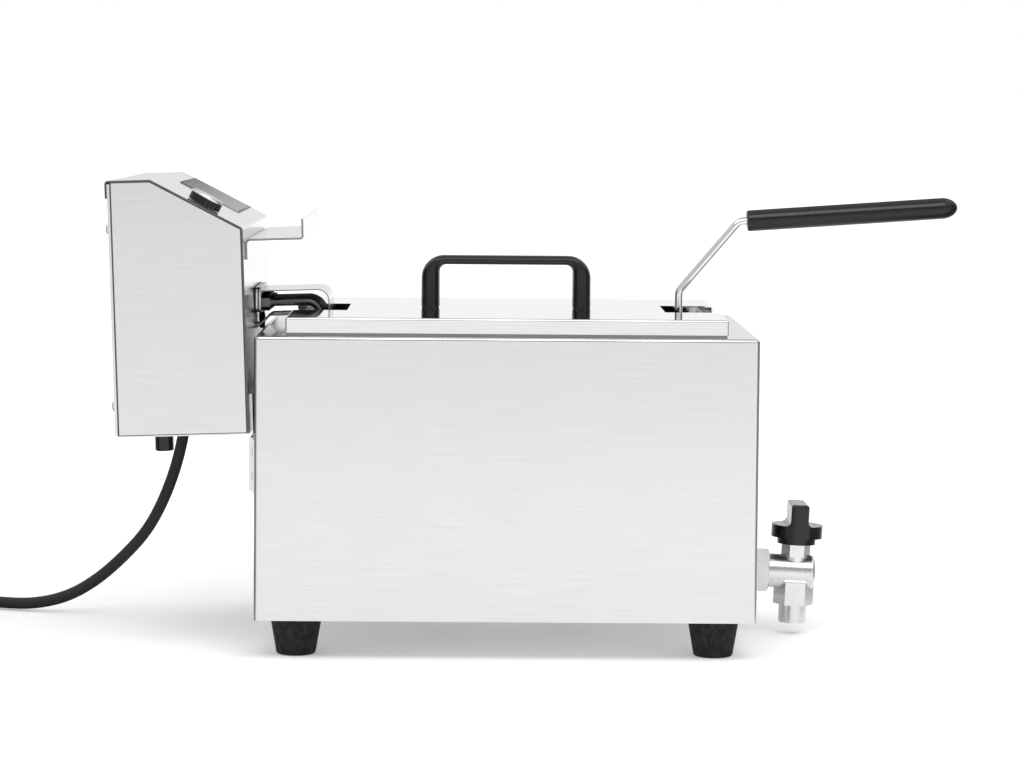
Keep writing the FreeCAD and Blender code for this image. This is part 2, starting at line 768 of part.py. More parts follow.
def rod_points():
    low = V(ROD_X, 0, BASKET_Z)
    knee = V(ROD_X, 0, KNEE_Z)
    elbow = V(ELBOW_X, 0, ELBOW_Z)
    return [low, knee, elbow, V(GRIP_X, 0, GRIP_Z) + grip_axis() * ROD_IN_GRIP]


def basket_rod():
    return tube(rod_points(), ROD_R, [ROD_BEND, ROD_BEND])


def basket_grip():
    grip = Part.makeCylinder(GRIP_R, GRIP_L)
    grip = grip.makeFillet(GRIP_NOSE, edges_at(grip, GRIP_L))
    grip = grip.makeFillet(GRIP_NEAR_ROUND, edges_at(grip, 0))
    grip = grip.cut(Part.makeCylinder(ROD_R + SEAT, ROD_IN_GRIP + SHEET))
    return along(grip, grip_axis(), V(GRIP_X, 0, GRIP_Z))


def case_points():
    return [(0, 0), (0, HEAD_FRONT_H), (-SLOPE_RUN, HEAD_REAR_H), (-HEAD_D - LIP_OFF - SHEET, HEAD_REAR_H),
            (-HEAD_D - LIP_OFF - SHEET, HEAD_REAR_H - LIP_H)]


def cover_screw_places():
    lane = HEAD_W / 2 - COVER_SCREW_IN
    return [(sy * lane, z) for sy in (-1, 1) for z in (COVER_SCREW_LOW, COVER_SCREW_HIGH)]


def tube_places():
    return [sy * y for sy in (-1, 1) for y in (TUBE_Y_INNER, TUBE_Y_OUTER)]


def case_wrap():
    """Front, slope and top of the head bent from one sheet, with the rear drip lip."""
    sheet = bent_sheet(case_points(), SHEET, HEAD_BEND + SHEET, HEAD_W)
    reach = 4 * FLANGE_T
    cutters = [Part.makeCylinder(TUBE_R + EASY_FIT, 2 * reach, V(-reach, y, TUBE_Z), X_AXIS)
               for y in tube_places()]
    cutters += [Part.makeCylinder(CAPILLARY_R + EASY_FIT, 2 * reach, V(-reach, y, CAPILLARY_Z), X_AXIS)
                for y in (-SENSOR_Y, SENSOR_Y)]
    hole = Part.makeCylinder(SHAFT_R + EASY_FIT, 2 * reach, V(0, 0, -reach))
    return lean(sheet.cut(cutters)).cut(on_slope(hole, KNOB_Y, KNOB_ALONG))


def case_side(sy):
    """End panel set into the wrap, with a narrow reveal along its edges."""
    inset = SHEET + SIDE_REVEAL
    slope_shift = inset * math.tan(math.radians(SLOPE_ANGLE / 2))
    points = [(-inset, 0), (-inset, HEAD_FRONT_H - inset * math.tan(math.radians(45 - SLOPE_ANGLE / 2))),
              (-SLOPE_RUN - slope_shift, HEAD_REAR_H - inset), (-HEAD_D, HEAD_REAR_H - inset), (-HEAD_D, 0)]
    outline = [V(x, 0, z) for x, z in points]
    face = Part.Face(Part.makePolygon(outline + outline[:1]))
    panel = face.extrude(V(0, SHEET, 0))
    shift = HEAD_W / 2 - SIDE_SINK - SHEET if sy > 0 else SIDE_SINK - HEAD_W / 2
    panel.translate(V(0, shift, 0))
    return lean(panel)


def rear_cover():
    """Shallow pan that closes the head's back, its flanges inside the end panels."""
    inside = HEAD_W - 2 * SIDE_SINK - 2 * SHEET - 2 * EASY_FIT
    x1 = -HEAD_D - COVER_OFF
    pan = middle_block(x1 - SHEET, COVER_FLANGE - HEAD_D, inside, 0, HEAD_REAR_H - SHEET - HEAD_BEND)
    hollow = middle_block(x1, COVER_FLANGE, inside - 2 * SHEET, SHEET, HEAD_REAR_H - 2 * SHEET - HEAD_BEND)
    holes = [Part.makeCylinder(COVER_SCREW_R + FIT, HEAD_D, V(-HEAD_D - HEAD_D / 2, y, z), X_AXIS)
             for y, z in cover_screw_places()]
    return lean(pan.cut([hollow] + holes))


def bottom_cover():
    plate = middle_block(-HEAD_D, 0, HEAD_W, -SHEET, 0)
    bore = Part.makeCylinder(NECK_R + EASY_FIT, NECK_L, V(RESET_X, RESET_Y, -NECK_L / 2))
    cord = Part.makeCylinder(GLAND_INNER_R + EASY_FIT, NECK_L, V(GLAND_X, CORD_Y, -NECK_L / 2))
    return lean(plate.cut([bore, cord]))


def cover_screw(y, z):
    solid = screw(COVER_SCREW_HEAD_R, COVER_SCREW_HEAD_H, COVER_SCREW_R, SHEET + COVER_SCREW_REACH)
    return lean(along(solid, V(-1, 0, 0), V(-HEAD_D - COVER_OFF - SHEET, y, z)))


def panel_overlay():
    plate = block(-OVERLAY_L / 2, OVERLAY_L / 2, -OVERLAY_W / 2, OVERLAY_W / 2, 0, OVERLAY_T)
    return on_slope(plate, OVERLAY_Y, OVERLAY_ALONG)


def knob():
    """Ribbed skirt of the knob, bored for its shaft."""
    turn = Part.makeCylinder(KNOB_R, KNOB_H)
    bore = Part.makeCylinder(SHAFT_R + SEAT, KNOB_BORE)
    ribs = []
    for i in range(KNOB_RIBS):
        angle = 2 * math.pi * i / KNOB_RIBS
        place = V(KNOB_R * math.cos(angle), KNOB_R * math.sin(angle), 0)
        ribs.append(Part.makeCylinder(KNOB_RIB_R, KNOB_H, place))
    solid = turn.cut([bore] + ribs)
    solid.translate(V(0, 0, KNOB_LIFT))
    return on_slope(solid, KNOB_Y, KNOB_ALONG)


def knob_cap():
    """Bright top of the knob with a round edge and a pointer groove."""
    z0 = KNOB_LIFT + KNOB_H
    z1 = z0 + KNOB_CAP_T
    disc = Part.makeCylinder(KNOB_R, KNOB_CAP_T, V(0, 0, z0))
    disc = disc.makeFillet(KNOB_CAP_ROUND, edges_at(disc, z1))
    mark = middle_block(KNOB_R - KNOB_MARK_L, KNOB_R + SHEET, KNOB_MARK_W, z1 - KNOB_MARK_T, z1 + SHEET)
    return on_slope(disc.cut(mark), KNOB_Y, KNOB_ALONG)


def knob_shaft():
    low = -SHEET - SHAFT_IN
    rod = Part.makeCylinder(SHAFT_R, KNOB_LIFT + KNOB_BORE - SEAT - low, V(0, 0, low))
    return on_slope(rod, KNOB_Y, KNOB_ALONG)


def thermostat():
    half = THERMOSTAT_SIDE / 2
    body = block(-half, half, -half, half, -SHEET - THERMOSTAT_H, -SHEET)
    bore = Part.makeCylinder(SHAFT_R + RUN_FIT, SHAFT_IN + SHEET, V(0, 0, -SHEET - SHAFT_IN - SHEET))
    return on_slope(body.cut(bore), KNOB_Y, KNOB_ALONG)


def cutout():
    half = CUTOUT_SIDE / 2
    body = block(-half, half, -half, half, 0, CUTOUT_H)
    neck = Part.makeCylinder(NECK_R, NECK_L + SHEET, V(0, 0, -NECK_L))
    bore = Part.makeCylinder(BUTTON_R + RUN_FIT, NECK_L + BUTTON_IN + BUTTON_TRAVEL, V(0, 0, -NECK_L))
    solid = body.fuse(neck).removeSplitter().cut(bore)
    solid.translate(V(RESET_X, RESET_Y, 0))
    return lean(solid)


def reset_button():
    pin = Part.makeCylinder(BUTTON_R, BUTTON_OUT + BUTTON_IN, V(RESET_X, RESET_Y, -NECK_L - BUTTON_OUT))
    return lean(pin)


def reset_cap():
    """Screw cap over the reset button, in profile round its own axis."""
    top = -SHEET - EASY_FIT
    shell = Part.makeCylinder(CAP_R, CAP_L, V(0, 0, top - CAP_L))
    shell = shell.makeFillet(CAP_ROUND, edges_at(shell, top - CAP_L))
    hollow = Part.makeCylinder(NECK_R + FIT, CAP_L - CAP_WALL_TOP, V(0, 0, top - CAP_L + CAP_WALL_TOP))
    solid = shell.cut(hollow)
    solid.translate(V(RESET_X, RESET_Y, 0))
    return lean(solid)


def terminal_block():
    body = block(-TERMINAL_D / 2, TERMINAL_D / 2, -TERMINAL_L / 2, TERMINAL_L / 2, 0, TERMINAL_H)
    pitch = TERMINAL_L / TERMINAL_WAYS
    slots = []
    for way in range(1, TERMINAL_WAYS):
        y = way * pitch - TERMINAL_L / 2
        slots.append(block(-TERMINAL_D, TERMINAL_D, y - SHEET, y + SHEET, TERMINAL_H / 2, 2 * TERMINAL_H))
    solid = body.cut(slots)
    solid.translate(V(TERMINAL_X, TERMINAL_Y, 0))
    return lean(solid)


def contactor():
    half = CONTACTOR_D / 2
    body = middle_block(-half, half, CONTACTOR_L, 0, CONTACTOR_H)
    step = middle_block(-CONTACTOR_D, CONTACTOR_STEP_D - half, 2 * CONTACTOR_L,
                        CONTACTOR_H - CONTACTOR_STEP_H, 2 * CONTACTOR_H)
    solid = body.cut(step)
    solid.translate(V(CONTACTOR_X, CONTACTOR_Y, 0))
    return lean(solid)


def hang_tongue():
    plate = middle_block(0, TONGUE_T, BRACKET_W - TONGUE_LESS, -TONGUE_DOWN, TONGUE_UP)
    low = [e for e in plate.Edges if e.BoundBox.XLength > SEAT and e.BoundBox.ZMax < -TONGUE_DOWN + SEAT]
    return lean(plate.makeFillet(BRACKET_EAR / 2, low))


def heater_gasket():
    pad = middle_block(0, FLANGE_GASKET, FLANGE_W, FLANGE_Z, FLANGE_Z + FLANGE_H)
    holes = [Part.makeCylinder(TUBE_R + EASY_FIT, FLANGE_T, V(-SHEET, y, TUBE_Z), X_AXIS)
             for y in tube_places()]
    return lean(pad.cut(holes))


def heater_flange():
    x0 = FLANGE_GASKET
    plate = middle_block(x0, x0 + FLANGE_T, FLANGE_W, FLANGE_Z, FLANGE_Z + FLANGE_H)
    corners = [e for e in plate.Edges if abs(e.BoundBox.XLength - FLANGE_T) < SEAT]
    plate = plate.makeFillet(FLANGE_ROUND, corners)
    holes = [Part.makeCylinder(TUBE_R + FIT, 2 * FLANGE_T, V(0, y, TUBE_Z), X_AXIS) for y in tube_places()]
    return lean(plate.cut(holes))


def gland_nut(y):
    """Hexagon gland nut with its collar, round one heater tube."""
    x0 = FLANGE_GASKET + FLANGE_T
    x1 = x0 + GLAND_NUT_T
    nut = hexagon(GLAND_NUT_AF, x0, x1, X_AXIS)
    collar = Part.makeCylinder(GLAND_COLLAR_R, GLAND_COLLAR_T, V(x1, 0, 0), X_AXIS)
    hole = Part.makeCylinder(TUBE_R + FIT, 4 * FLANGE_T, V(0, 0, 0), X_AXIS)
    solid = nut.fuse(collar).cut(hole)
    solid.translate(V(0, y, TUBE_Z))
    return lean(solid)


def drop_foot(reach, y):
    """Point where a line down the leaning head at a reach meets the element's level."""
    z = (ELEMENT_Z - HEAD_Z - reach * math.sin(LEAN)) / math.cos(LEAN)
    return leaned(reach, y, z)


def heater_tube(sy):
    """One hairpin: down from the head, round the tank's floor and up again."""
    inner = sy * TUBE_Y_INNER
    outer = sy * TUBE_Y_OUTER
    wide = sy * RUN_Y_OUTER
    rear = drop_foot(TUBE_REACH, outer)
    turn = (RUN_Y_OUTER - TUBE_Y_INNER) / 2
    points = [leaned(-TUBE_IN, outer, TUBE_Z), leaned(TUBE_REACH, outer, TUBE_Z), rear,
              V(rear.x, wide, ELEMENT_Z), V(RUN_FRONT_X, wide, ELEMENT_Z), V(RUN_FRONT_X, inner, ELEMENT_Z),
              drop_foot(TUBE_REACH, inner), leaned(TUBE_REACH, inner, TUBE_Z),
              leaned(-TUBE_IN, inner, TUBE_Z)]
    return tube(points, TUBE_R, [TUBE_BEND, TUBE_BEND, RUN_CORNER, turn, turn, TUBE_BEND, TUBE_BEND])


def element_cover():
    """Bent guard over the heater tubes from the flange down into the tank."""
    points = [(FLANGE_GASKET + FLANGE_T, COVER_Z), (COVER_X, COVER_Z), (COVER_X, COVER_Z - COVER_DOWN)]
    return lean(bent_sheet(points, -COVER_T, COVER_BEND, COVER_W))


def locating_peg():
    """Tapered rubber peg under the heater flange, in the gap behind the casing."""
    x = FLANGE_GASKET + FLANGE_T / 2 - SEAT
    peg = spun([(0, 0), (PEG_TIP_R, 0), (PEG_R, -PEG_L / 3), (PEG_TIP_R, -PEG_L), (0, -PEG_L)])
    peg.translate(V(x, 0, FLANGE_Z))
    return lean(peg)


def capillary(sy):
    """Thin tube from the head along the heater drop to its bulb."""
    y = sy * SENSOR_Y
    high = CAPILLARY_Z + CAPILLARY_RISE
    foot_point = drop_foot(CAPILLARY_DROP_X, y)
    points = [leaned(-TUBE_IN, y, CAPILLARY_Z), leaned(SHEET, y, CAPILLARY_Z),
              leaned(CAPILLARY_RISE_X, y, high), leaned(CAPILLARY_DROP_X, y, high), foot_point,
              V(BULB_X - SEAT, y, ELEMENT_Z)]
    return tube(points, CAPILLARY_R, [CAPILLARY_BEND] * 4)


def sensor_bulb(sy):
    bulb = Part.makeCylinder(BULB_R, BULB_L, V(BULB_X, sy * SENSOR_Y, ELEMENT_Z), X_AXIS)
    return bulb.makeFillet(BULB_R / 2, [e for e in bulb.Edges if e.BoundBox.XLength < SEAT])


def clip_bar(x, with_bulbs):
    """Cross bar that ties the heater runs together and carries the basket."""
    bar = middle_block(x - BAR_T / 2, x + BAR_T / 2, BAR_W, ELEMENT_Z - BAR_UNDER, ELEMENT_Z + BAR_OVER)
    holes = []
    for y in (TUBE_Y_INNER, RUN_Y_OUTER):
        holes += [(sy * y, TUBE_R) for sy in (-1, 1)]
    if with_bulbs:
        holes += [(sy * SENSOR_Y, BULB_R) for sy in (-1, 1)]
    cutters = [Part.makeCylinder(r + FIT, 2 * BAR_T, V(x - BAR_T, y, ELEMENT_Z), X_AXIS) for y, r in holes]
    return bar.cut(cutters)


def basket_hanger():
    """Z-bent rail, spot-welded to the head's front, that holds the draining basket."""
    shelf = HANGER_Z + HANGER_FLANGE
    points = [(0, HANGER_Z), (0, shelf), (HANGER_REACH, shelf), (HANGER_REACH, shelf + HANGER_UP)]
    route = [(x + HANGER_T if i < 2 else x, z) for i, (x, z) in enumerate(points)]
    return lean(bent_sheet(route, HANGER_T, HANGER_BEND, HANGER_W))


def drain_pipe():
    back = FRONT_X - (TANK_X + TANK_L / 2 + SHEET) + PIPE_IN
    pipe = Part.makeCylinder(PIPE_R, back + PIPE_OUT, V(-back, 0, 0), X_AXIS)
    bore = Part.makeCylinder(PIPE_BORE_R, back + PIPE_OUT, V(-back, 0, 0), X_AXIS)
    return on_drain(pipe.cut(bore))


def nut_gasket():
    ring = Part.makeCylinder(NUT_GASKET_R, NUT_GASKET_T, V(NUT_LIFT, 0, 0), X_AXIS)
    return on_drain(ring.cut(Part.makeCylinder(PIPE_R + FIT, FOOT_H, V(0, 0, 0), X_AXIS)))


def lock_nut():
    x0 = NUT_LIFT + NUT_GASKET_T
    nut = hexagon(NUT_AF, x0, NUT_T, X_AXIS)
    nut.rotate(V(0, 0, 0), X_AXIS, NUT_TURN)
    corner = NUT_AF / math.sqrt(3)
    cone = spun([(0, x0), (NUT_AF / 2, x0), (corner, x0 + (corner - NUT_AF / 2) / 2),
                 (corner, NUT_T - (corner - NUT_AF / 2) / 2), (NUT_AF / 2, NUT_T), (0, NUT_T)], X_AXIS)
    hole = Part.makeCylinder(PIPE_R + FIT, 2 * NUT_T, V(0, 0, 0), X_AXIS)
    return on_drain(nut.common(cone).cut(hole))


def tap_body():
    """Tap casting: collar, barrel with a round nose, seat for the plug and outlet boss."""
    x0 = NUT_T
    collar = Part.makeCylinder(COLLAR_R, COLLAR_T, V(x0, 0, 0), X_AXIS)
    barrel = Part.makeCylinder(TAP_R, TAP_L, V(x0 + COLLAR_T, 0, 0), X_AXIS)
    nose_x = x0 + COLLAR_T + TAP_L
    barrel = barrel.makeFillet(TAP_NOSE, [e for e in barrel.Edges if e.BoundBox.XMin > nose_x - SEAT])
    boss = Part.makeCylinder(BONNET_R, BONNET_TOP - BONNET_HEX_H, V(TAP_AXIS_X, 0, 0))
    outlet = hexagon(OUTLET_AF, -OUTLET_LOW, -OUTLET_TOP + TAP_NOSE, Z_AXIS)
    outlet.translate(V(TAP_AXIS_X, 0, 0))
    spout = Part.makeCylinder(SPOUT_R, SPOUT_LOW - OUTLET_LOW, V(TAP_AXIS_X, 0, -SPOUT_LOW))
    solid = collar.fuse([barrel, boss, outlet, spout]).removeSplitter()
    way_in = Part.makeCylinder(PIPE_R + SEAT, PIPE_OUT - x0 + SHEET, V(x0, 0, 0), X_AXIS)
    way_on = Part.makeCylinder(TAP_BORE_R, TAP_AXIS_X - x0, V(x0, 0, 0), X_AXIS)
    seat = Part.makeCylinder(PLUG_R + RUN_FIT, PLUG_H + BONNET_TOP, V(TAP_AXIS_X, 0, -PLUG_H / 2))
    way_down = Part.makeCylinder(TAP_BORE_R, SPOUT_LOW, V(TAP_AXIS_X, 0, -SPOUT_LOW))
    depth = SPOUT_LOW - OUTLET_LOW + SPOUT_NECK
    mouth = Part.makeCylinder(SPOUT_BORE_R, depth, V(TAP_AXIS_X, 0, -SPOUT_LOW))
    corner = BONNET_AF / math.sqrt(3)
    spot = Part.makeCylinder(corner + FIT, TAP_R, V(TAP_AXIS_X, 0, BONNET_TOP - BONNET_HEX_H))
    return on_drain(solid.cut([way_in, way_on, seat, way_down, mouth, spot]))


def tap_bonnet():
    """Hexagon bonnet that closes the plug's chamber and guides the stem."""
    z0 = BONNET_TOP - BONNET_HEX_H
    nut = hexagon(BONNET_AF, z0, BONNET_TOP, Z_AXIS)
    hole = Part.makeCylinder(STEM_R + RUN_FIT, 2 * BONNET_TOP, V(0, 0, 0))
    solid = nut.cut(hole)
    solid.translate(V(TAP_AXIS_X, 0, 0))
    return on_drain(solid)


def tap_plug():
    """Turning plug with its stem: an L-shaped way, shut when the way looks aside."""
    plug = Part.makeCylinder(PLUG_R, PLUG_H, V(0, 0, -PLUG_H / 2))
    top = BONNET_TOP + GRIP_GAP + GRIP_BORE - SHEET
    stem = Part.makeCylinder(STEM_R, top, V(0, 0, 0))
    down = Part.makeCylinder(TAP_BORE_R - SHEET, PLUG_H / 2, V(0, 0, -PLUG_H / 2))
    aside = Part.makeCylinder(TAP_BORE_R - SHEET, PLUG_R + SHEET, V(0, 0, 0), V(0, -1, 0))
    solid = plug.fuse(stem).removeSplitter().cut([down, aside])
    solid.translate(V(TAP_AXIS_X, 0, 0))
    return on_drain(solid)


def tap_handle():
    """Moulded handle: skirt, round disc and an upright fin across it with soft shoulders."""
    z0 = BONNET_TOP + GRIP_GAP
    z1 = z0 + GRIP_SKIRT_H
    z2 = z1 + GRIP_DISC_H
    z3 = z2 + GRIP_FIN_H
    skirt = Part.makeCylinder(GRIP_SKIRT_R, GRIP_SKIRT_H, V(0, 0, z0))
    disc = Part.makeCylinder(GRIP_DISC_R, GRIP_DISC_H, V(0, 0, z1))
    fin = block(-GRIP_FIN_T / 2, GRIP_FIN_T / 2, -GRIP_DISC_R, GRIP_DISC_R, z1, z3)
    fin = fin.common(Part.makeCylinder(GRIP_DISC_R, GRIP_DISC_H + GRIP_FIN_H, V(0, 0, z1)))
    solid = skirt.fuse([disc, fin]).removeSplitter()
    roots = [e for e in edges_at(solid, z2) if e.BoundBox.XLength < SEAT]
    solid = solid.makeFillet(GRIP_FIN_ROUND, roots)
    solid = solid.makeFillet(GRIP_FIN_ROUND / 2, edges_at(solid, z3))
    solid = solid.cut(Part.makeCylinder(STEM_R + SEAT, GRIP_BORE, V(0, 0, z0)))
    solid.translate(V(TAP_AXIS_X, 0, 0))
    return on_drain(solid)


def gland_way():
    tilt = math.radians(GLAND_TILT)
    return V(-math.sin(tilt), 0, -math.cos(tilt))


def cord_gland():
    """Strain relief under the head: ring nut, neck through the cover and a tapered sleeve."""
    seat = V(GLAND_X, CORD_Y, -SHEET)
    nut = Part.makeCylinder(GLAND_NUT_R, GLAND_NUT_H, seat - Z_AXIS * GLAND_NUT_H)
    neck = Part.makeCylinder(GLAND_INNER_R, GLAND_IN, seat)
    sleeve = Part.makeCone(GLAND_NUT_R - SHEET, GLAND_LOW_R, GLAND_L, V(0, 0, 0), Z_AXIS)
    upper = lean(nut.fuse(neck))
    lower = along(sleeve, gland_way(), leaned(GLAND_X, CORD_Y, -SHEET - GLAND_NUT_H / 2))
    return upper.fuse(lower).removeSplitter()


def gland_end():
    return leaned(GLAND_X, CORD_Y, -SHEET - GLAND_NUT_H / 2) + gland_way() * GLAND_L


def coil_heading():
    turn = math.radians(COIL_HEADING)
    return V(math.cos(turn), math.sin(turn), 0)


def coil_level():
    return CORD_R + TIE_T + TIE_GAP + SEAT


COIL_START = V(HEAD_X - COIL_BACK, CORD_Y + COIL_BESIDE, coil_level())
CORD_ROUTE = [V(HEAD_X - back, CORD_Y + beside, high) for back, beside, high in CORD_STEPS]


def cord_run():
    lead = gland_end() + gland_way() * CORD_LEAD
    last = COIL_START - coil_heading() * CORD_LAST
    points = [gland_end(), lead] + CORD_ROUTE + [last, COIL_START]
    radii = []
    for i in range(1, len(points) - 1):
        before = points[i] - points[i - 1]
        after = points[i + 1] - points[i]
        half = before.getAngle(after) / 2
        radii.append(CORD_BEND_SHARE * min(before.Length, after.Length) / math.tan(half))
    solid = tube(points, CORD_R, radii)
    length = sum((b - a).Length for a, b in zip(points, points[1:]))
    print("cord radii", [round(r) for r in radii], "length", round(length),
          "volume share", round(solid.Volume / (math.pi * CORD_R ** 2 * length), 4))
    return solid


def coil_point(turns):
    """Place on the coil: in, up in the half turn where the spiral reverses, and out again."""
    flat = COIL_TURNS_FLAT
    climb = COIL_TURNS_CLIMB
    whole = 2 * flat + climb
    inward = min(turns, whole - turns)
    share = min(max((turns - flat) / climb, 0.0), 1.0)
    radius = COIL_R - COIL_STEP * inward
    rise = COIL_STEP * (1 - math.cos(math.pi * share)) / 2
    heading = coil_heading()
    left = Z_AXIS.cross(heading)
    start = COIL_START + heading * (2 * CORD_R)
    centre = start + left * COIL_R
    angle = 2 * math.pi * turns
    spoke = (left * -math.cos(angle) + heading * math.sin(angle)) * radius
    return centre + spoke + Z_AXIS * rise


def biarc(p0, t0, p1, t1):
    """Two tangent arcs between two points with given headings."""
    chord = p1 - p0
    both = t0 + t1
    spare = 2 * (1 - t0.dot(t1))
    reach = chord.dot(both)
    d = (math.sqrt(reach ** 2 + spare * chord.dot(chord)) - reach) / spare
    joint = (p0 + p1 + (t0 - t1) * d) * 0.5
    edges = []
    for a, heading, b in ((p0, t0, joint), (p1, t1 * -1, joint)):
        span = b - a
        across = (span - heading * span.dot(heading)).normalize()
        radius = span.dot(span) / (2 * span.dot(across))
        centre = a + across * radius
        middle = centre + ((a - centre) + (b - centre)).normalize() * radius
        edges.append(Part.Arc(a, middle, b).toShape())
    return edges


def cord_coil():
    """Loops of spare cord as one unbroken tube, with a straight tail to the plug."""
    whole = 2 * COIL_TURNS_FLAT + COIL_TURNS_CLIMB
    steps = int(whole * COIL_STATIONS)
    heading = coil_heading()
    stations = [coil_point(whole * i / steps) for i in range(steps + 1)]
    tangents = []
    for i in range(steps + 1):
        turns = whole * i / steps
        tangents.append((coil_point(turns + COIL_NUDGE) - coil_point(turns - COIL_NUDGE)).normalize())
    tangents[0] = heading
    tangents[-1] = heading
    edges = [Part.LineSegment(COIL_START, stations[0]).toShape()]
    for i in range(steps):
        edges += biarc(stations[i], tangents[i], stations[i + 1], tangents[i + 1])
    edges.append(Part.LineSegment(stations[-1], stations[-1] + heading * COIL_TAIL).toShape())
    solid = swept(Part.sortEdges(edges)[0], CORD_R, COIL_START, heading)
    length = sum(e.Length for e in edges)
    print("coil gap", round(coil_gap(whole), 2), "length", round(length),
          "volume share", round(solid.Volume / (math.pi * CORD_R ** 2 * length), 4))
    return solid


def coil_gap(whole):
    """Least gap between the coil's loops, measured on points along its middle."""
    turns = [i / COIL_SAMPLES for i in range(int(whole * COIL_SAMPLES) + 1)]
    points = [coil_point(t) for t in turns]
    far = COIL_SAMPLES // 2
    return min((points[i] - points[j]).Length for i in range(len(points))
               for j in range(i + far, len(points))) - 2 * CORD_R


def tie_frame():
    """Middle of the bundle opposite the coil's start, with its outward direction."""
    heading = coil_heading()
    outward = Z_AXIS.cross(heading)
    centre = COIL_START + heading * (2 * CORD_R) + outward * COIL_R
    return centre, outward, heading


def cord_tie():
    """Strap round the bundle of loops."""
    centre, outward, heading = tie_frame()
    middle_r = COIL_R - COIL_STEP
    wide = COIL_STEP + 2 * CORD_R + 2 * TIE_GAP
    z0 = COIL_START.z - CORD_R - TIE_GAP
    outer = middle_block(-wide / 2 - TIE_T, wide / 2 + TIE_T, TIE_W, z0 - TIE_T, z0 + wide + TIE_T)
    outer = outer.makeFillet(TIE_ROUND, [e for e in outer.Edges if abs(e.BoundBox.YLength - TIE_W) < SEAT])
    inner = middle_block(-wide / 2, wide / 2, 2 * TIE_W, z0, z0 + wide)
    corners = [e for e in inner.Edges if abs(e.BoundBox.YLength - 2 * TIE_W) < SEAT]
    inner = inner.makeFillet(TIE_ROUND - TIE_T, corners)
    strap = outer.cut(inner)
    turn = math.degrees(math.atan2(outward.y, outward.x))
    strap.rotate(V(0, 0, 0), Z_AXIS, turn)
    place = centre + outward * middle_r
    strap.translate(V(place.x, place.y, 0))
    return strap


def plug_place():
    whole = 2 * COIL_TURNS_FLAT + COIL_TURNS_CLIMB
    return coil_point(whole) + coil_heading() * COIL_TAIL


def plug_body():
    """Moulded earthed plug with a tapered neck."""
    face = PLUG_NECK_L + PLUG_BODY_L
    neck = spun([(0, 0), (PLUG_NECK_R, 0), (PLUG_NECK_R + 2 * SHEET, PLUG_NECK_L),
                 (PLUG_BODY_R - PLUG_EDGE, PLUG_NECK_L), (PLUG_BODY_R, PLUG_NECK_L + PLUG_EDGE),
                 (PLUG_BODY_R, face), (0, face)])
    depth = PLUG_PIN_IN + SEAT
    bores = [Part.makeCylinder(PLUG_PIN_R + SEAT, depth, V(0, sy * PLUG_PIN_GAP / 2, face - depth))
             for sy in (-1, 1)]
    return along(neck.cut(bores), coil_heading(), plug_place())


def plug_pin(sy):
    pin = Part.makeCylinder(PLUG_PIN_R, PLUG_PIN_IN + PLUG_PIN_L, V(0, sy * PLUG_PIN_GAP / 2,
                            PLUG_NECK_L + PLUG_BODY_L - PLUG_PIN_IN))
    pin = pin.makeFillet(PLUG_PIN_R / 2, edges_at(pin, PLUG_NECK_L + PLUG_BODY_L + PLUG_PIN_L))
    return along(pin, coil_heading(), plug_place())


CORD_NODES = ("cord_gland", "cord_run", "cord_coil", "cord_tie", "plug_body", "plug_pins")


def casing_nodes():
    return {"body_shell": [body_shell()], "base_plate": [base_plate()], "oil_tank": [oil_tank()],
            "rear_ridge": [rear_ridge()], "head_bracket": [head_bracket()],
            "bracket_rivets": [bracket_rivet(y, z) for y, z in rivet_places()],
            "feet": [foot(x, y) for x, y in foot_places()],
            "foot_screws": [foot_screw(x, y) for x, y in foot_places()]}


def tap_nodes():
    return {"drain_pipe": [drain_pipe()], "nut_gasket": [nut_gasket()], "lock_nut": [lock_nut()],
            "tap_body": [tap_body()], "tap_bonnet": [tap_bonnet()], "tap_plug": [tap_plug()],
            "tap_handle": [tap_handle()]}


def lid_nodes():
    both = (-1, 1)
    return {"lid_panel": [lid_panel()], "lid_pads": [lid_pad(sy) for sy in both],
            "lid_handle": [lid_handle()], "lid_handle_pads": [lid_handle_pad(sx) for sx in both],
            "lid_handle_screws": [lid_handle_screw(sx) for sx in both]}


def basket_nodes():
    both = (-1, 1)
    return {"mesh_bottom": [mesh_bottom()], "mesh_ends": [mesh_end(sx) for sx in both],
            "mesh_sides": [mesh_side(sy) for sy in both],
            "basket_frame": [basket_frame(z) for z in (BASKET_Z + RIM_R, BASKET_TOP - RIM_R)],
            "basket_rod": [basket_rod()], "basket_grip": [basket_grip()]}


def head_nodes():
    return {"case_wrap": [case_wrap()], "case_side_left": [case_side(1)], "case_side_right": [case_side(-1)],
            "rear_cover": [rear_cover()], "bottom_cover": [bottom_cover()],
            "head_screws": [cover_screw(y, z) for y, z in cover_screw_places()],
            "panel_overlay": [panel_overlay()], "knob": [knob()], "knob_cap": [knob_cap()],
            "knob_shaft": [knob_shaft()], "thermostat": [thermostat()], "cutout": [cutout()],
            "reset_button": [reset_button()], "reset_cap": [reset_cap()],
            "terminal_block": [terminal_block()], "contactor": [contactor()],
            "hang_tongue": [hang_tongue()], "locating_peg": [locating_peg()],
            "basket_hanger": [basket_hanger()]}


def heater_nodes():
    both = (-1, 1)
    return {"heater_gasket": [heater_gasket()], "heater_flange": [heater_flange()],
            "gland_nuts": [gland_nut(y) for y in tube_places()],
            "heater_tubes": [heater_tube(sy) for sy in both],
            "element_cover": [element_cover()],
            "capillaries": [capillary(sy) for sy in both], "sensor_bulbs": [sensor_bulb(sy) for sy in both],
            "clip_bars": [clip_bar(BAR_REAR_X, True), clip_bar(BAR_FRONT_X, False)]}


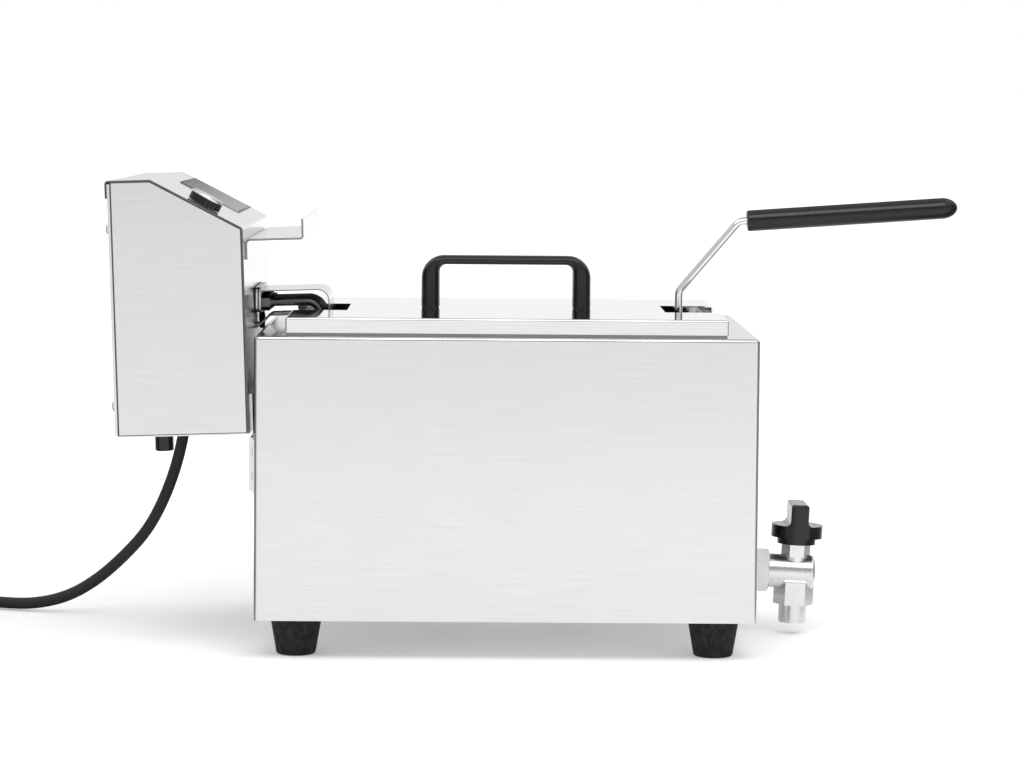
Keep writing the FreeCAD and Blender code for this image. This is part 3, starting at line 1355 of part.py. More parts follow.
def cord_pieces():
    return {"cord_gland": [cord_gland()], "cord_run": [cord_run()], "cord_coil": [cord_coil()],
            "cord_tie": [cord_tie()], "plug_body": [plug_body()],
            "plug_pins": [plug_pin(sy) for sy in (-1, 1)]}


def build():
    """All nodes, with the origin under the middle of the object without its cord."""
    nodes = {}
    for group in (casing_nodes, tap_nodes, lid_nodes, basket_nodes, head_nodes, heater_nodes, cord_pieces):
        nodes.update(group())
    own = Part.makeCompound([s for name, solids in nodes.items() if name not in CORD_NODES for s in solids])
    shift = V(-own.BoundBox.Center.x, 0, 0)
    for solids in nodes.values():
        for solid in solids:
            solid.translate(shift)
    return nodes, shift


def save(nodes):
    os.makedirs("parts", exist_ok=True)
    for name, solids in nodes.items():
        shape = solids[0] if len(solids) == 1 else Part.makeCompound(solids)
        shape.exportStep("parts/%s.step" % name)


NODES, SHIFT = build()
save(NODES)
print("moved to the middle by", [round(step, 3) for step in SHIFT])
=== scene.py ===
import math

import bmesh
import bpy
from mathutils import Matrix, Vector


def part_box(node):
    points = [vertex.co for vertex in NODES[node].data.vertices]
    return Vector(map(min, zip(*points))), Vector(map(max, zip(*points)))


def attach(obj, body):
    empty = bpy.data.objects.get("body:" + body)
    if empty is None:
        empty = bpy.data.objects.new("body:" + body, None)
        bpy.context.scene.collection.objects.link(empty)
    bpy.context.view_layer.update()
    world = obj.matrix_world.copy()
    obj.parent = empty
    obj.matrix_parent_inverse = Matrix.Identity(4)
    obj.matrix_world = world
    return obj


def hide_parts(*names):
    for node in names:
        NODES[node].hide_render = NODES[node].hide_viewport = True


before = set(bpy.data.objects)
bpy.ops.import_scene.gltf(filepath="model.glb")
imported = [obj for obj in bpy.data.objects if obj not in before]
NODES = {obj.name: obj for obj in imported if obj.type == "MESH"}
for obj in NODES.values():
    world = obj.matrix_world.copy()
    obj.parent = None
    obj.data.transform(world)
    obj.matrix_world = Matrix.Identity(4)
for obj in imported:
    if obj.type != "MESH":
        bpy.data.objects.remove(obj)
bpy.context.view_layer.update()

bl_info = {
    "name": "Countertop deep fryer",
    "version": (1, 0, 0),
    "blender": (4, 5, 0),
    "location": "3D View > Sidebar > Fryer",
    "description": "Finishes and fine pieces of a stainless countertop deep fryer",
    "category": "Object",
}

UP = Vector((0, 0, 1))
WHITE = (1.0, 1.0, 1.0, 1.0)

# Every length is in metres. The mains cord's route, from the strain relief to the start of its coil
CORD_ROUTE = [
    (-0.27622, 0.06000, 0.14571), (-0.27969, 0.06000, 0.12602), (-0.29143, 0.06200, 0.09300),
    (-0.30543, 0.06600, 0.06700), (-0.32443, 0.07100, 0.04600), (-0.34543, 0.07550, 0.02700),
    (-0.36943, 0.08050, 0.01250), (-0.39643, 0.08550, 0.00580), (-0.42243, 0.09350, 0.00530),
    (-0.44885, 0.10354, 0.00635), (-0.47343, 0.11200, 0.00635),
]

# The cord's coil: its heading, radius and step between turns, and its turns in each layer and between layers
COIL_ANGLE = math.radians(161)
COIL_HEADING = Vector((math.cos(COIL_ANGLE), math.sin(COIL_ANGLE), 0))
COIL_LEFT = UP.cross(COIL_HEADING)
COIL_LEAD = 0.009
COIL_START = Vector(CORD_ROUTE[-1]) + COIL_HEADING * COIL_LEAD
COIL_RADIUS = 0.060
COIL_STEP = 0.0097
COIL_FLAT = 1.75
COIL_CLIMB = 0.5
COIL_TURNS = 2 * COIL_FLAT + COIL_CLIMB
COIL_TAIL = 0.060
COIL_POINTS = 16

# The strap round the coil, and its section as shares of half its thickness and half its width
TIE_THICK = 0.0012
TIE_WIDE = 0.010
TIE_SPAN = COIL_STEP + 0.0102
TIE_BELOW = 0.0051
TIE_CORNER = 0.0024
TAIL_LIFT = TIE_THICK * 0.9
TAIL_CORNER = 0.0035
TAIL_REACH = 0.8
TIE_SECTION = ((1, -0.9), (1, 0.9), (0.6, 1), (-0.6, 1), (-1, 0.9), (-1, -0.9), (-0.6, -1), (0.6, -1))

# The mains plug, as radius and height pairs along its axis
PLUG_NECK = 0.0070
PLUG_BODY = 0.0155
PLUG_HEEL = ((0, 0), (0.0052, 0), (0.0066, 0.0004), (PLUG_NECK, 0.0012))
PLUG_SHOULDER = ((0.0084, 0.0158), (0.0125, 0.0160), (0.0148, 0.0169), (PLUG_BODY, 0.0190), (PLUG_BODY, 0.0240))
PLUG_FACE = ((PLUG_BODY, 0.0490), (0.0150, 0.0500), (0, 0.0500))

# The rings of its neck and the finger grooves of its body: the first one's height, and inset and height pairs
RING_COUNT = 4
RING_PITCH = 0.0032
RING_START = 0.0022
RING_GROWTH = 0.0003
RING_SHAPE = ((0, 0), (0, 0.0016), (0.0011, 0.0019), (0.0011, 0.0028))
GROOVE_START = 0.0245
GROOVE_SHAPE = ((0, 0), (0.0008, 0.0006), (0.0008, 0.0017), (0, 0.0023))

# The head leans back, and its panel slopes down to the front
HEAD_LEAN = math.radians(1.85)
SLOPE_ANGLE = math.radians(28.98)
SLOPE_NORMAL = Vector((math.sin(SLOPE_ANGLE - HEAD_LEAN), 0, math.cos(SLOPE_ANGLE - HEAD_LEAN)))

# The basket's grip, from the middle of its near end, and that end's rim as shares of its radius and heights
GRIP_START = (0.155768, 0, 0.3155)
GRIP_RISE = math.radians(4.1)
GRIP_LENGTH = 0.1602
GRIP_RADIUS = 0.008
GRIP_NOSE = 0.012
GRIP_RIM = ((0.0, 0.0), (0.78, 0.0), (0.93, 0.0005), (0.985, 0.0014), (1.0, 0.0028))

# The lid's bow handle: its legs and bar as seen from the side, and the power of its soft oval section
HANDLE_LEG = 0.014
HANDLE_BAR = 0.007
HANDLE_OUT_R = 0.017
HANDLE_IN_R = 0.005
HANDLE_POWER = 2.5

# Heights of the fasteners' heads
SCREW_HEIGHT = 0.0024
FOOT_SCREW_HEIGHT = 0.0035
RIVET_HEIGHT = 0.0012

# The rivets' dome, the screws' pan head and its cross recess, as shares of the head's radius and height
RIVET_DOME = ((0.0, 0.0), (1.0, 0.0), (1.0, 0.2), (0.9, 0.62), (0.62, 0.9), (0.3, 0.99), (0.0, 1.0))
PAN_HEAD = ((1.0, 0.0), (1.0, 0.4), (0.93, 0.76), (0.74, 1.0))
CROSS_ARM = 0.6
CROSS_HALF = 0.13
CROSS_DEEP = 0.6

# Steps round a moulding, a fastener, an oval section and a wire, and in a quarter arc and a corner of the strap
MOULDED_STEPS = 64
FASTENER_STEPS = 32
OVAL_STEPS = 28
WIRE_STEPS = 8
ARC_STEPS = 8
CORNER_STEPS = 6

# How far the dark strips of painted shade round the end panels and along the cut edges stand out of the sheet
SEAM_LIFT = 0.0003
SEAM_INSIDE = 0.45
EDGE_LIFT = 0.00008

# The panel's film and the dark bands at its ends, painted shade of the edges of its recess
FILM_THICK = 0.0006
FILM_WIDE = 0.130
FILM_LONG = 0.050
BAND_LONG = 0.0012
BAND_THICK = 0.0001
BAND_BEVEL = 0.00004
BAND_MARGIN = 0.0007

# The floor and the lamp
FLOOR_HALF = 40.0
FLOOR_FLANK = 0.32
GLOW_CENTRE = (-0.4, -0.45, 0.0)
LAMP_POWER = 12.5
LAMP_PLACE = (0.05, -1.0, 1.4)
LAMP_AXIS = (0.0, -0.75, 1.0)
LAMP_WIDE = 1.4
LAMP_DEEP = 0.7

# Slants of the dark zones beside the object, on the floor and in the studio
FLOOR_SLANT = 0.85
SKY_SLANT = 0.9
FRONT_SLANT = 0.6

# Ramps over the floor by distance: start and end, then the level at each
FLOOR_WEDGE = (0.11, 0.21, 0.0, 1.0)
FLOOR_FRONT = (0.0, 0.12, 0.0, 1.0)
FLOOR_CLEAR = (0.28, 0.36, 0.0, 1.0)
FLOOR_GLOW = (0.3, 2.0, 0.26, 0.50)

# Ramps over the studio by direction, in the same order
SKY_WEDGE = (-0.1, 0.1, 0.0, 1.0)
SKY_FRONT = (-0.05, 0.15, 0.0, 1.0)
SKY_SIDE = (0.3, 0.62, 0.0, 0.75)
SKY_LOW = (0.25, 0.5, 1.0, 0.0)
SKY_AHEAD = (-0.5, 0.3, 0.85, 1.0)
SKY_GAP = (0.14, 0.38, 0.0, 0.78)
SKY_GAP_SIDE = (0.2, 0.4, 1.0, 0.2)
SKY_ABOVE = (0.62, 0.86, 0.0, 0.6)

# The camera of the photograph
CAMERA_PLACE = (-0.04949, -2.48492, 0.40298)
CAMERA_YAW = math.radians(0.6494)
CAMERA_PITCH = math.radians(4.8949)
CAMERA_ROLL = math.radians(0.4589)
CAMERA_LENS = 115.197
CAMERA_SENSOR = 36.0
CAMERA_CLIP = (0.01, 200.0)

# Distances within which points are merged, the angle of a sharp edge, and the Y of a normal that looks aside
SOLID_MERGE = 1e-6
TURNED_MERGE = 1e-7
SHARP_ANGLE = math.radians(35)
FACES_ASIDE = 0.99

# Sockets of the colour mix node
MIX_FIRST = 6
MIX_SECOND = 7
MIX_RESULT = 2


class Shade:
    """One output in a node tree, with the arithmetic that the finishes use."""

    def __init__(self, finish, socket):
        self.finish = finish
        self.socket = socket

    def math(self, operation, first, second):
        return self.finish.node("ShaderNodeMath", {"operation": operation}, {0: first, 1: second})

    def __add__(self, other):
        return self.math("ADD", self, other)

    def __radd__(self, other):
        return self.math("ADD", other, self)

    def __sub__(self, other):
        return self.math("SUBTRACT", self, other)

    def __rsub__(self, other):
        return self.math("SUBTRACT", other, self)

    def __mul__(self, other):
        return self.math("MULTIPLY", self, other)

    def __rmul__(self, other):
        return self.math("MULTIPLY", other, self)

    def __abs__(self):
        return self.finish.node("ShaderNodeMath", {"operation": "ABSOLUTE"}, {0: self})


class Finish:
    """A material or world, built from nodes by name."""

    def __init__(self, owner):
        owner.use_nodes = True
        self.owner = owner
        self.tree = owner.node_tree
        self.tree.nodes.clear()

    def node(self, kind, settings, sockets, out=0):
        made = self.tree.nodes.new(kind)
        for key, value in settings.items():
            setattr(made, key, value)
        for key, value in sockets.items():
            self.feed(made.inputs[key], value)
        return Shade(self, made.outputs[out]) if made.outputs else None

    def feed(self, socket, value):
        if isinstance(value, Shade):
            self.tree.links.new(value.socket, socket)
        else:
            socket.default_value = value

    def place(self, scale):
        coordinates = self.node("ShaderNodeTexCoord", {}, {}, "Object")
        return self.node("ShaderNodeMapping", {}, {"Vector": coordinates, "Scale": scale})

    def noise(self, scale, detail=2.0):
        """Noise with a scale for each axis, or one for all three."""
        scale = scale if isinstance(scale, tuple) else (scale, scale, scale)
        sockets = {"Vector": self.place(scale), "Scale": 1.0, "Detail": detail}
        return self.node("ShaderNodeTexNoise", {}, sockets)

    def axis(self, vector, name):
        return self.node("ShaderNodeSeparateXYZ", {}, {"Vector": vector}, name)

    def ramp(self, value, start, end, first=0.0, last=1.0):
        """A smooth step from one level to another over a span of a value."""
        sockets = {"Value": value, "From Min": start, "From Max": end, "To Min": first, "To Max": last}
        return self.node("ShaderNodeMapRange", {"interpolation_type": "SMOOTHSTEP"}, sockets)

    def between(self, share, first, second):
        """A colour between two, by a share from 0 to 1."""
        sockets = {"Factor": share, MIX_FIRST: first, MIX_SECOND: second}
        return self.node("ShaderNodeMix", {"data_type": "RGBA"}, sockets, MIX_RESULT)

    def bump(self, height, strength, distance):
        sockets = {"Height": height, "Strength": strength, "Distance": distance}
        return self.node("ShaderNodeBump", {}, sockets)

    def surface(self, **sockets):
        named = {key.replace("_", " "): value for key, value in sockets.items()}
        shader = self.node("ShaderNodeBsdfPrincipled", {}, named)
        self.node("ShaderNodeOutputMaterial", {}, {"Surface": shader})
        return self.owner


def tone(rgb, share):
    """A colour with its brightness scaled, and an alpha of 1."""
    return (*[min(channel * share, 1.0) for channel in rgb], 1.0)


def new_finish(name):
    return Finish(bpy.data.materials.new(name))


def brushed_steel(name, rgb, shine, marks):
    """Sheet with fine straight brushing along its length, whichever way the face looks."""
    finish = new_finish(name)
    along, across = 22.0, 850.0
    long_grain = finish.noise((along, across, across), detail=1.0)
    cross_grain = finish.noise((across, along, across), detail=1.0)
    normal = finish.node("ShaderNodeTexCoord", {}, {}, "Normal")
    turn = abs(finish.axis(normal, "X"))
    grain = long_grain + (cross_grain - long_grain) * turn
    cloud = finish.noise((4.0, 4.0, 14.0))
    share = grain * 0.8 + cloud * 0.2
    return finish.surface(
        Base_Color=finish.between(share, tone(rgb, 0.88), tone(rgb, 1.11)),
        Metallic=1.0,
        Roughness=grain * marks + (shine - marks / 2),
        Normal=finish.bump(grain, strength=marks * 0.35, distance=0.0002))


def bright_plate(name, rgb, shine, pitting):
    """Nickel or chrome plate with slight unevenness under it."""
    finish = new_finish(name)
    cast = finish.noise(260.0, detail=3.0)
    cloud = finish.noise(60.0)
    return finish.surface(
        Base_Color=finish.between(cloud, tone(rgb, 0.9), tone(rgb, 1.06)),
        Metallic=1.0,
        Roughness=cast * 0.1 + (shine - 0.05),
        Normal=finish.bump(cast, strength=pitting, distance=0.0004))


def moulded_plastic(name, rgb, shine, grain_scale, mirror):
    """Moulded plastic with the fine spark-eroded grain of its mould."""
    finish = new_finish(name)
    grain = finish.noise(grain_scale)
    cloud = finish.noise(35.0)
    return finish.surface(
        Base_Color=finish.between(cloud, tone(rgb, 0.85), tone(rgb, 1.2)),
        Roughness=grain * 0.14 + (shine - 0.07),
        Specular_IOR_Level=mirror,
        Normal=finish.bump(grain, strength=0.04, distance=0.0002))


def moulded_rubber(name, rgb, shine):
    """Rubber with a dusty, slightly pitted skin."""
    finish = new_finish(name)
    pits = finish.noise(900.0, detail=3.0)
    dust = finish.noise((240.0, 240.0, 160.0), detail=5.0)
    patch = finish.node("ShaderNodeMapRange", {}, {"Value": dust, "From Min": 0.4, "From Max": 0.68})
    return finish.surface(
        Base_Color=finish.between(patch, tone(rgb, 0.6), tone(rgb, 2.4)),
        Roughness=dust * 0.2 + (shine - 0.1),
        Specular_IOR_Level=0.3,
        Normal=finish.bump(pits, strength=0.3, distance=0.0004))


def worn_sheath_and_edge_shade(name, rgb, shine):
    """Steel in soft bands: dulled by heat on the heater's sheath, and dark as painted shade on the sheets' cut
    edges.
    """
    finish = new_finish(name)
    bands = finish.noise(30.0, detail=3.0)
    scale = finish.noise(700.0)
    return finish.surface(
        Base_Color=finish.between(bands, tone(rgb, 0.6), tone(rgb, 1.5)),
        Metallic=1.0,
        Roughness=bands * 0.15 + (shine - 0.07),
        Normal=finish.bump(scale, strength=0.1, distance=0.0003))


def plate_stack_painted_gap_shade(name, rgb, pitch):
    """Plates pressed together, in stripes of their steel and of painted shade in the gaps between their edges.
    """
    finish = new_finish(name)
    along = finish.axis(finish.place((1.0, 1.0, 1.0)), "X")
    # The dark half of each wave is painted shade of the gap between two plates
    wave = finish.node("ShaderNodeMath", {"operation": "SINE"}, {0: along * (2 * math.pi / pitch)})
    cast = finish.noise(400.0, detail=3.0)
    return finish.surface(
        Base_Color=finish.between(wave * 0.5 + 0.5, tone(rgb, 0.1), tone(rgb, 1.6)),
        Metallic=1.0,
        Roughness=cast * 0.2 + 0.15,
        Normal=finish.bump(cast, strength=0.1, distance=0.0003))


def printed_film_and_painted_shade(name, rgb):
    """Printed polyester film with a fine matt texture, darker at the top of the slope and lighter down it."""
    finish = new_finish(name)
    texture = finish.noise(1500.0)
    along = finish.axis(finish.place((1.0, 1.0, 1.0)), "X")
    low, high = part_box("panel_overlay")
    fade = finish.ramp(along + texture * 0.006, low.x, high.x)
    return finish.surface(
        Base_Color=finish.between(fade, tone(rgb, 0.35), tone(rgb, 1.9)),
        Roughness=texture * 0.12 + 0.3,
        Normal=finish.bump(texture, strength=0.08, distance=0.0002))


STEEL = ["body_shell", "base_plate", "rear_ridge", "head_bracket", "case_wrap", "case_side_left",
         "case_side_right", "rear_cover", "bottom_cover", "hang_tongue", "basket_hanger", "element_cover"]
GROUPS = {
    "steel": STEEL,
    "tank": ["oil_tank"],
    "lid": ["lid_panel"],
    "fastener": ["bracket_rivets", "foot_screws", "head_screws", "lid_handle_screws"],
    "foot": ["feet", "locating_peg"],
    "strip": ["lid_pads"],
    "seal": ["nut_gasket", "heater_gasket"],
    "tap": ["drain_pipe", "lock_nut", "tap_body", "tap_bonnet", "tap_plug"],
    "grip": ["lid_handle", "lid_handle_pads", "basket_grip", "knob"],
    "gloss": ["tap_handle", "reset_cap"],
    "trim": ["knob_cap", "knob_shaft", "reset_button"],
    "film": ["panel_overlay"],
    "sheath": ["heater_tubes", "clip_bars", "sensor_bulbs", "gland_nuts"],
    "dull": ["capillaries"],
    "flange": ["heater_flange"],
    "wire": ["mesh_bottom", "mesh_ends", "mesh_sides", "basket_frame", "basket_rod"],
    "inner": ["thermostat", "cutout", "terminal_block", "contactor"],
    "cord": ["cord_gland", "cord_tie", "plug_body"],
    "pins": ["plug_pins"],
}


def finishes(look):
    """Every finish of the fryer, by the name of its group."""
    bright_steel = tone(look.steel, 1.08)[:3]
    # A paler painted shade for the edges of the hanger and the element cover
    pale_edge_shade = tone(look.dull, 0.6)[:3]
    return {
        "steel": brushed_steel("brushed_stainless", look.steel, shine=0.18, marks=0.10),
        "tank": brushed_steel("drawn_stainless", look.steel, shine=0.17, marks=0.12),
        "lid": brushed_steel("polished_stainless", bright_steel, shine=0.06, marks=0.05),
        "fastener": bright_plate("zinc_plate", look.plate, shine=0.3, pitting=0.05),
        "foot": moulded_rubber("foot_rubber", look.rubber, shine=0.75),
        # The lid strips' grey is partly their silicone, partly painted shade of the gap under the lid's skirt
        "strip": moulded_plastic("silicone_painted_gap_shade", look.strip, shine=0.55, grain_scale=900.0, mirror=0.4),
        # Seal rubber for the gaskets, which also colours the dark strips of painted shade round the head's end
        # panels
        "seal": moulded_rubber("seal_rubber", look.rubber, shine=0.65),
        "tap": bright_plate("nickel_plate", look.nickel, shine=0.28, pitting=0.12),
        "grip": moulded_plastic("black_moulding", look.black, shine=0.27, grain_scale=1400.0, mirror=0.4),
        "gloss": moulded_plastic("black_gloss", look.black, shine=0.16, grain_scale=700.0, mirror=0.42),
        "trim": bright_plate("satin_trim", look.plate, shine=0.28, pitting=0.03),
        "film": printed_film_and_painted_shade("panel_film", look.film),
        "sheath": worn_sheath_and_edge_shade("heater_sheath", look.sheath, shine=0.28),
        "dull": bright_plate("dulled_plate", look.dull, shine=0.24, pitting=0.08),
        "flange": plate_stack_painted_gap_shade("flange_plates", look.dull, pitch=0.0024),
        "wire": bright_plate("chrome_wire", look.wire, shine=0.12, pitting=0.02),
        "inner": moulded_plastic("cream_moulding", look.inner, shine=0.5, grain_scale=900.0, mirror=0.5),
        "cord": moulded_rubber("cord_rubber", look.rubber, shine=0.6),
        "pins": bright_plate("pin_plate", look.plate, shine=0.2, pitting=0.02),
        # The sheets' cut edges: painted shade along them, in a dark and a paler tone
        "edge": worn_sheath_and_edge_shade("steel_painted_edge_shade", look.sheath, shine=0.5),
        "thin_edge_shade": worn_sheath_and_edge_shade("pale_steel_painted_edge_shade", pale_edge_shade, shine=0.5),
        # The film's dark end bands are painted shade of the edges of its recess
        "band": printed_film_and_painted_shade("dark_film_painted_shade", look.rubber),
    }


def dress(piece, material):
    piece.data.materials.clear()
    piece.data.materials.append(material)


def linked(name, data):
    """A new object of the scene at the origin."""
    made = bpy.data.objects.new(name, data)
    bpy.context.scene.collection.objects.link(made)
    return made


def linked_mesh(name, mesh):
    """A new object with the faces of a mesh, which is let go."""
    data = bpy.data.meshes.new(name)
    mesh.to_mesh(data)
    mesh.free()
    return linked(name, data)


def new_piece(name, mesh, body, slot, finish, *nodes):
    """Add a finished piece that rides on a body and may stand for solids of the frame."""
    piece = linked_mesh(name, finished(mesh))
    dress(piece, bpy.data.materials[finish])
    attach(piece, body)
    if nodes:
        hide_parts(*nodes)


def solid_copy(name):
    """A merged copy of a solid's mesh."""
    mesh = bmesh.new()
    mesh.from_mesh(NODES[name].data)
    mesh.transform(NODES[name].matrix_world)
    bmesh.ops.remove_doubles(mesh, verts=mesh.verts, dist=SOLID_MERGE)
    return mesh


def solid_boxes(name):
    """Low and high corners of each separate solid of a node."""
    mesh = solid_copy(name)
    left = set(mesh.verts)
    boxes = []
    while left:
        group = [left.pop()]
        for vert in group:
            near = [edge.other_vert(vert) for edge in vert.link_edges]
            fresh = [other for other in near if other in left]
            left.difference_update(fresh)
            group += fresh
        axes = list(zip(*[vert.co for vert in group]))
        boxes.append((Vector([min(axis) for axis in axes]), Vector([max(axis) for axis in axes])))
    mesh.free()
    return boxes


def facing(direction, place):
    """Matrix that stands the local Z axis along a direction at a place."""
    return Matrix.Translation(place) @ Vector(direction).to_track_quat("Z", "Y").to_matrix().to_4x4()


def stamp(mesh, part, matrix):
    """Add a part to a mesh at a place, and let the part go."""
    part.transform(matrix)
    data = bpy.data.meshes.new("stamp")
    part.to_mesh(data)
    part.free()
    mesh.from_mesh(data)
    bpy.data.meshes.remove(data)


def turned(profile, steps):
    """Solid of revolution about the local Z axis from radius and height pairs."""
    part = bmesh.new()
    verts = [part.verts.new((radius, 0, height)) for radius, height in profile]
    edges = [part.edges.new(pair) for pair in zip(verts, verts[1:])]
    bmesh.ops.spin(
        part, geom=verts + edges, cent=(0, 0, 0), axis=(0, 0, 1), dvec=(0, 0, 0), angle=2 * math.pi,
        steps=steps, use_merge=True, use_duplicate=False)
    bmesh.ops.remove_doubles(part, verts=part.verts, dist=TURNED_MERGE)
    return part


def finished(mesh):
    """The mesh with its normals outward, and smooth apart from its sharp edges."""
    bmesh.ops.recalc_face_normals(mesh, faces=mesh.faces)
    for face in mesh.faces:
        face.smooth = True
    for edge in mesh.edges:
        edge.smooth = len(edge.link_faces) == 2 and edge.calc_face_angle() < SHARP_ANGLE
    return mesh


def loft(mesh, rings, closed=False):
    """Skin between rings of points, each ring with the same count, and the rings' vertices."""
    rows = [[mesh.verts.new(point) for point in ring] for ring in rings]
    for first, second in zip(rows, rows[1:] + rows[:1] if closed else rows[1:]):
        for i in range(len(first)):
            mesh.faces.new((first[i - 1], first[i], second[i], second[i - 1]))
    return rows


def cap(mesh, rows):
    """Close both ends of a skin."""
    for row in (rows[0], rows[-1]):
        mesh.faces.new(row)


def oval(centre, half, deep, power):
    """Ring of a soft oval section, from its half width as a vector and its half depth along Y."""
    ring = []
    for i in range(OVAL_STEPS):
        cos = math.cos(2 * math.pi * i / OVAL_STEPS)
        sin = math.sin(2 * math.pi * i / OVAL_STEPS)
        wide = math.copysign(abs(cos) ** (2 / power), cos)
        side = math.copysign(abs(sin) ** (2 / power), sin)
        ring.append(centre + half * wide + Vector((0, deep * side, 0)))
    return ring


def wire(mesh, start, end, radius):
    """Add a straight wire from one place to another."""
    line = end - start
    bmesh.ops.create_cone(
        mesh, cap_ends=True, segments=WIRE_STEPS, radius1=radius, radius2=radius, depth=line.length,
        matrix=facing(line, (start + end) / 2))


class FryerLook(bpy.types.PropertyGroup):
    """Sizes and colours of the fryer that a user may change."""

    steel: bpy.props.FloatVectorProperty(
        name="Steel", description="Colour of the brushed sheet",
        subtype="COLOR", default=(0.632, 0.632, 0.632))
    plate: bpy.props.FloatVectorProperty(
        name="Plate", description="Colour of the zinc and chrome plate",
        subtype="COLOR", default=(0.76, 0.76, 0.75))
    wire: bpy.props.FloatVectorProperty(
        name="Wire", description="Colour of the basket's bright wire",
        subtype="COLOR", default=(0.70, 0.70, 0.70))
    nickel: bpy.props.FloatVectorProperty(
        name="Tap", description="Colour of the tap's satin nickel",
        subtype="COLOR", default=(0.72, 0.72, 0.71))
    black: bpy.props.FloatVectorProperty(
        name="Grips", description="Colour of the moulded grips",
        subtype="COLOR", default=(0.004, 0.004, 0.0042))
    rubber: bpy.props.FloatVectorProperty(
        name="Rubber", description="Colour of the feet, seals and cord",
        subtype="COLOR", default=(0.012, 0.012, 0.012))
    # Grey of the lid's strips, partly their silicone and partly painted shade of the gap under the skirt
    strip: bpy.props.FloatVectorProperty(
        name="Strips", description="Colour of the lid's silicone strips",
        subtype="COLOR", default=(0.20, 0.20, 0.195))
    film: bpy.props.FloatVectorProperty(
        name="Film", description="Colour of the panel's film",
        subtype="COLOR", default=(0.15, 0.15, 0.155))
    sheath: bpy.props.FloatVectorProperty(
        name="Sheath", description="Colour of the heater's sheath and nuts",
        subtype="COLOR", default=(0.13, 0.13, 0.13))
    dull: bpy.props.FloatVectorProperty(
        name="Dulled plate", description="Colour of the heater's flange and capillaries",
        subtype="COLOR", default=(0.42, 0.42, 0.41))
    inner: bpy.props.FloatVectorProperty(
        name="Fittings", description="Colour of the inner fittings",
        subtype="COLOR", default=(0.72, 0.70, 0.64))
    floor: bpy.props.FloatVectorProperty(
        name="Floor", description="Colour of the floor",
        subtype="COLOR", default=(0.86, 0.86, 0.86))
    cord_diameter: bpy.props.FloatProperty(
        name="Cord", description="Diameter of the mains cord", unit="LENGTH", default=0.009)
    # Width of the dark strip of painted shade round the head's end panels, which stands for the shadow at their
    # folded edges
    painted_shade_seam_width: bpy.props.FloatProperty(
        name="Seam", description="Width of the bead round the head's end panels", unit="LENGTH", default=0.0011)
    mesh_pitch: bpy.props.FloatProperty(
        name="Mesh pitch", description="Pitch of the basket's wires", unit="LENGTH", default=0.0075)
    mesh_wire: bpy.props.FloatProperty(
        name="Mesh wire", description="Diameter of the basket's wires", unit="LENGTH", default=0.0013)


class FRYER_OT_finishes(bpy.types.Operator):
    """Give every solid of the frame its finish"""

    bl_idname = "fryer.finishes"
    bl_label = "Finishes"

    def execute(self, context):
        made = finishes(context.scene.fryer_look)
        for group, names in GROUPS.items():
            for name in names:
                dress(NODES[name], made[group])
        return {"FINISHED"}


def coil_point(turns):
    """Place on the put-away coil: in, up where the spiral reverses, and out again."""
    inward = min(turns, COIL_TURNS - turns)
    share = min(max((turns - COIL_FLAT) / COIL_CLIMB, 0.0), 1.0)
    radius = (COIL_RADIUS - COIL_STEP * inward) / math.cos(math.pi / COIL_POINTS) ** 0.5
    angle = 2 * math.pi * turns
    spoke = (COIL_HEADING * math.sin(angle) - COIL_LEFT * math.cos(angle)) * radius
    rise = COIL_STEP * (1 - math.cos(math.pi * share)) / 2
    return COIL_START + COIL_LEFT * COIL_RADIUS + spoke + UP * rise


def coil_end():
    """Place where the coil's straight tail meets the plug."""
    return coil_point(COIL_TURNS) + COIL_HEADING * COIL_TAIL


class FRYER_OT_cord(bpy.types.Operator):
    """Lay the mains cord from the strain relief to its coil and plug"""

    bl_idname = "fryer.cord"
    bl_label = "Mains cord"

    def execute(self, context):
        diameter = context.scene.fryer_look.cord_diameter
        steps = int(COIL_TURNS * COIL_POINTS)
        route = [Vector(point) for point in CORD_ROUTE]
        route += [coil_point(COIL_TURNS * i / steps) for i in range(steps + 1)]
        route.append(coil_end())
        line = bpy.data.curves.new("mains_cord", "CURVE")
        line.dimensions = "3D"
        line.bevel_depth = diameter / 2
        line.bevel_resolution = 5
        line.resolution_u = 6
        line.use_fill_caps = True
        spline = line.splines.new("NURBS")
        spline.points.add(len(route) - 1)
        for point, place in zip(spline.points, route):
            point.co = (*place, 1)
        spline.order_u = 3
        spline.use_endpoint_u = True
        cord = linked("mains_cord", line)
        dress(cord, bpy.data.materials["cord_rubber"])
        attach(cord, "head")
        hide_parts("cord_run", "cord_coil")
        return {"FINISHED"}


class FRYER_OT_mesh(bpy.types.Operator):
    """Weld the basket's floor and walls from crossed wires"""

    bl_idname = "fryer.mesh"
    bl_label = "Basket mesh"

    def execute(self, context):
        look = context.scene.fryer_look
        for node in ("mesh_bottom", "mesh_ends", "mesh_sides"):
            mesh = bmesh.new()
            for low, high in solid_boxes(node):
                self.panel(mesh, low, high, look.mesh_pitch, look.mesh_wire / 2)
            new_piece(node + "_wires", mesh, "basket", "basket_wire", "chrome_wire", node)
        return {"FINISHED"}

    def panel(self, mesh, low, high, pitch, radius):
        """Two layers of straight wires that cross in a thin box."""
        span = high - low
        thin = min(range(3), key=lambda axis: span[axis])
        flat = [axis for axis in range(3) if axis != thin]
        for side, (run, across) in zip((-1, 1), (flat, flat[::-1])):
            count = round(span[across] / pitch)
            for i in range(count + 1):
                start = (low + high) / 2
                start[thin] += side * radius
                start[across] = low[across] + radius + (span[across] - 2 * radius) * i / count
                end = start.copy()
                start[run] = low[run]
                end[run] = high[run]
                wire(mesh, start, end, radius)


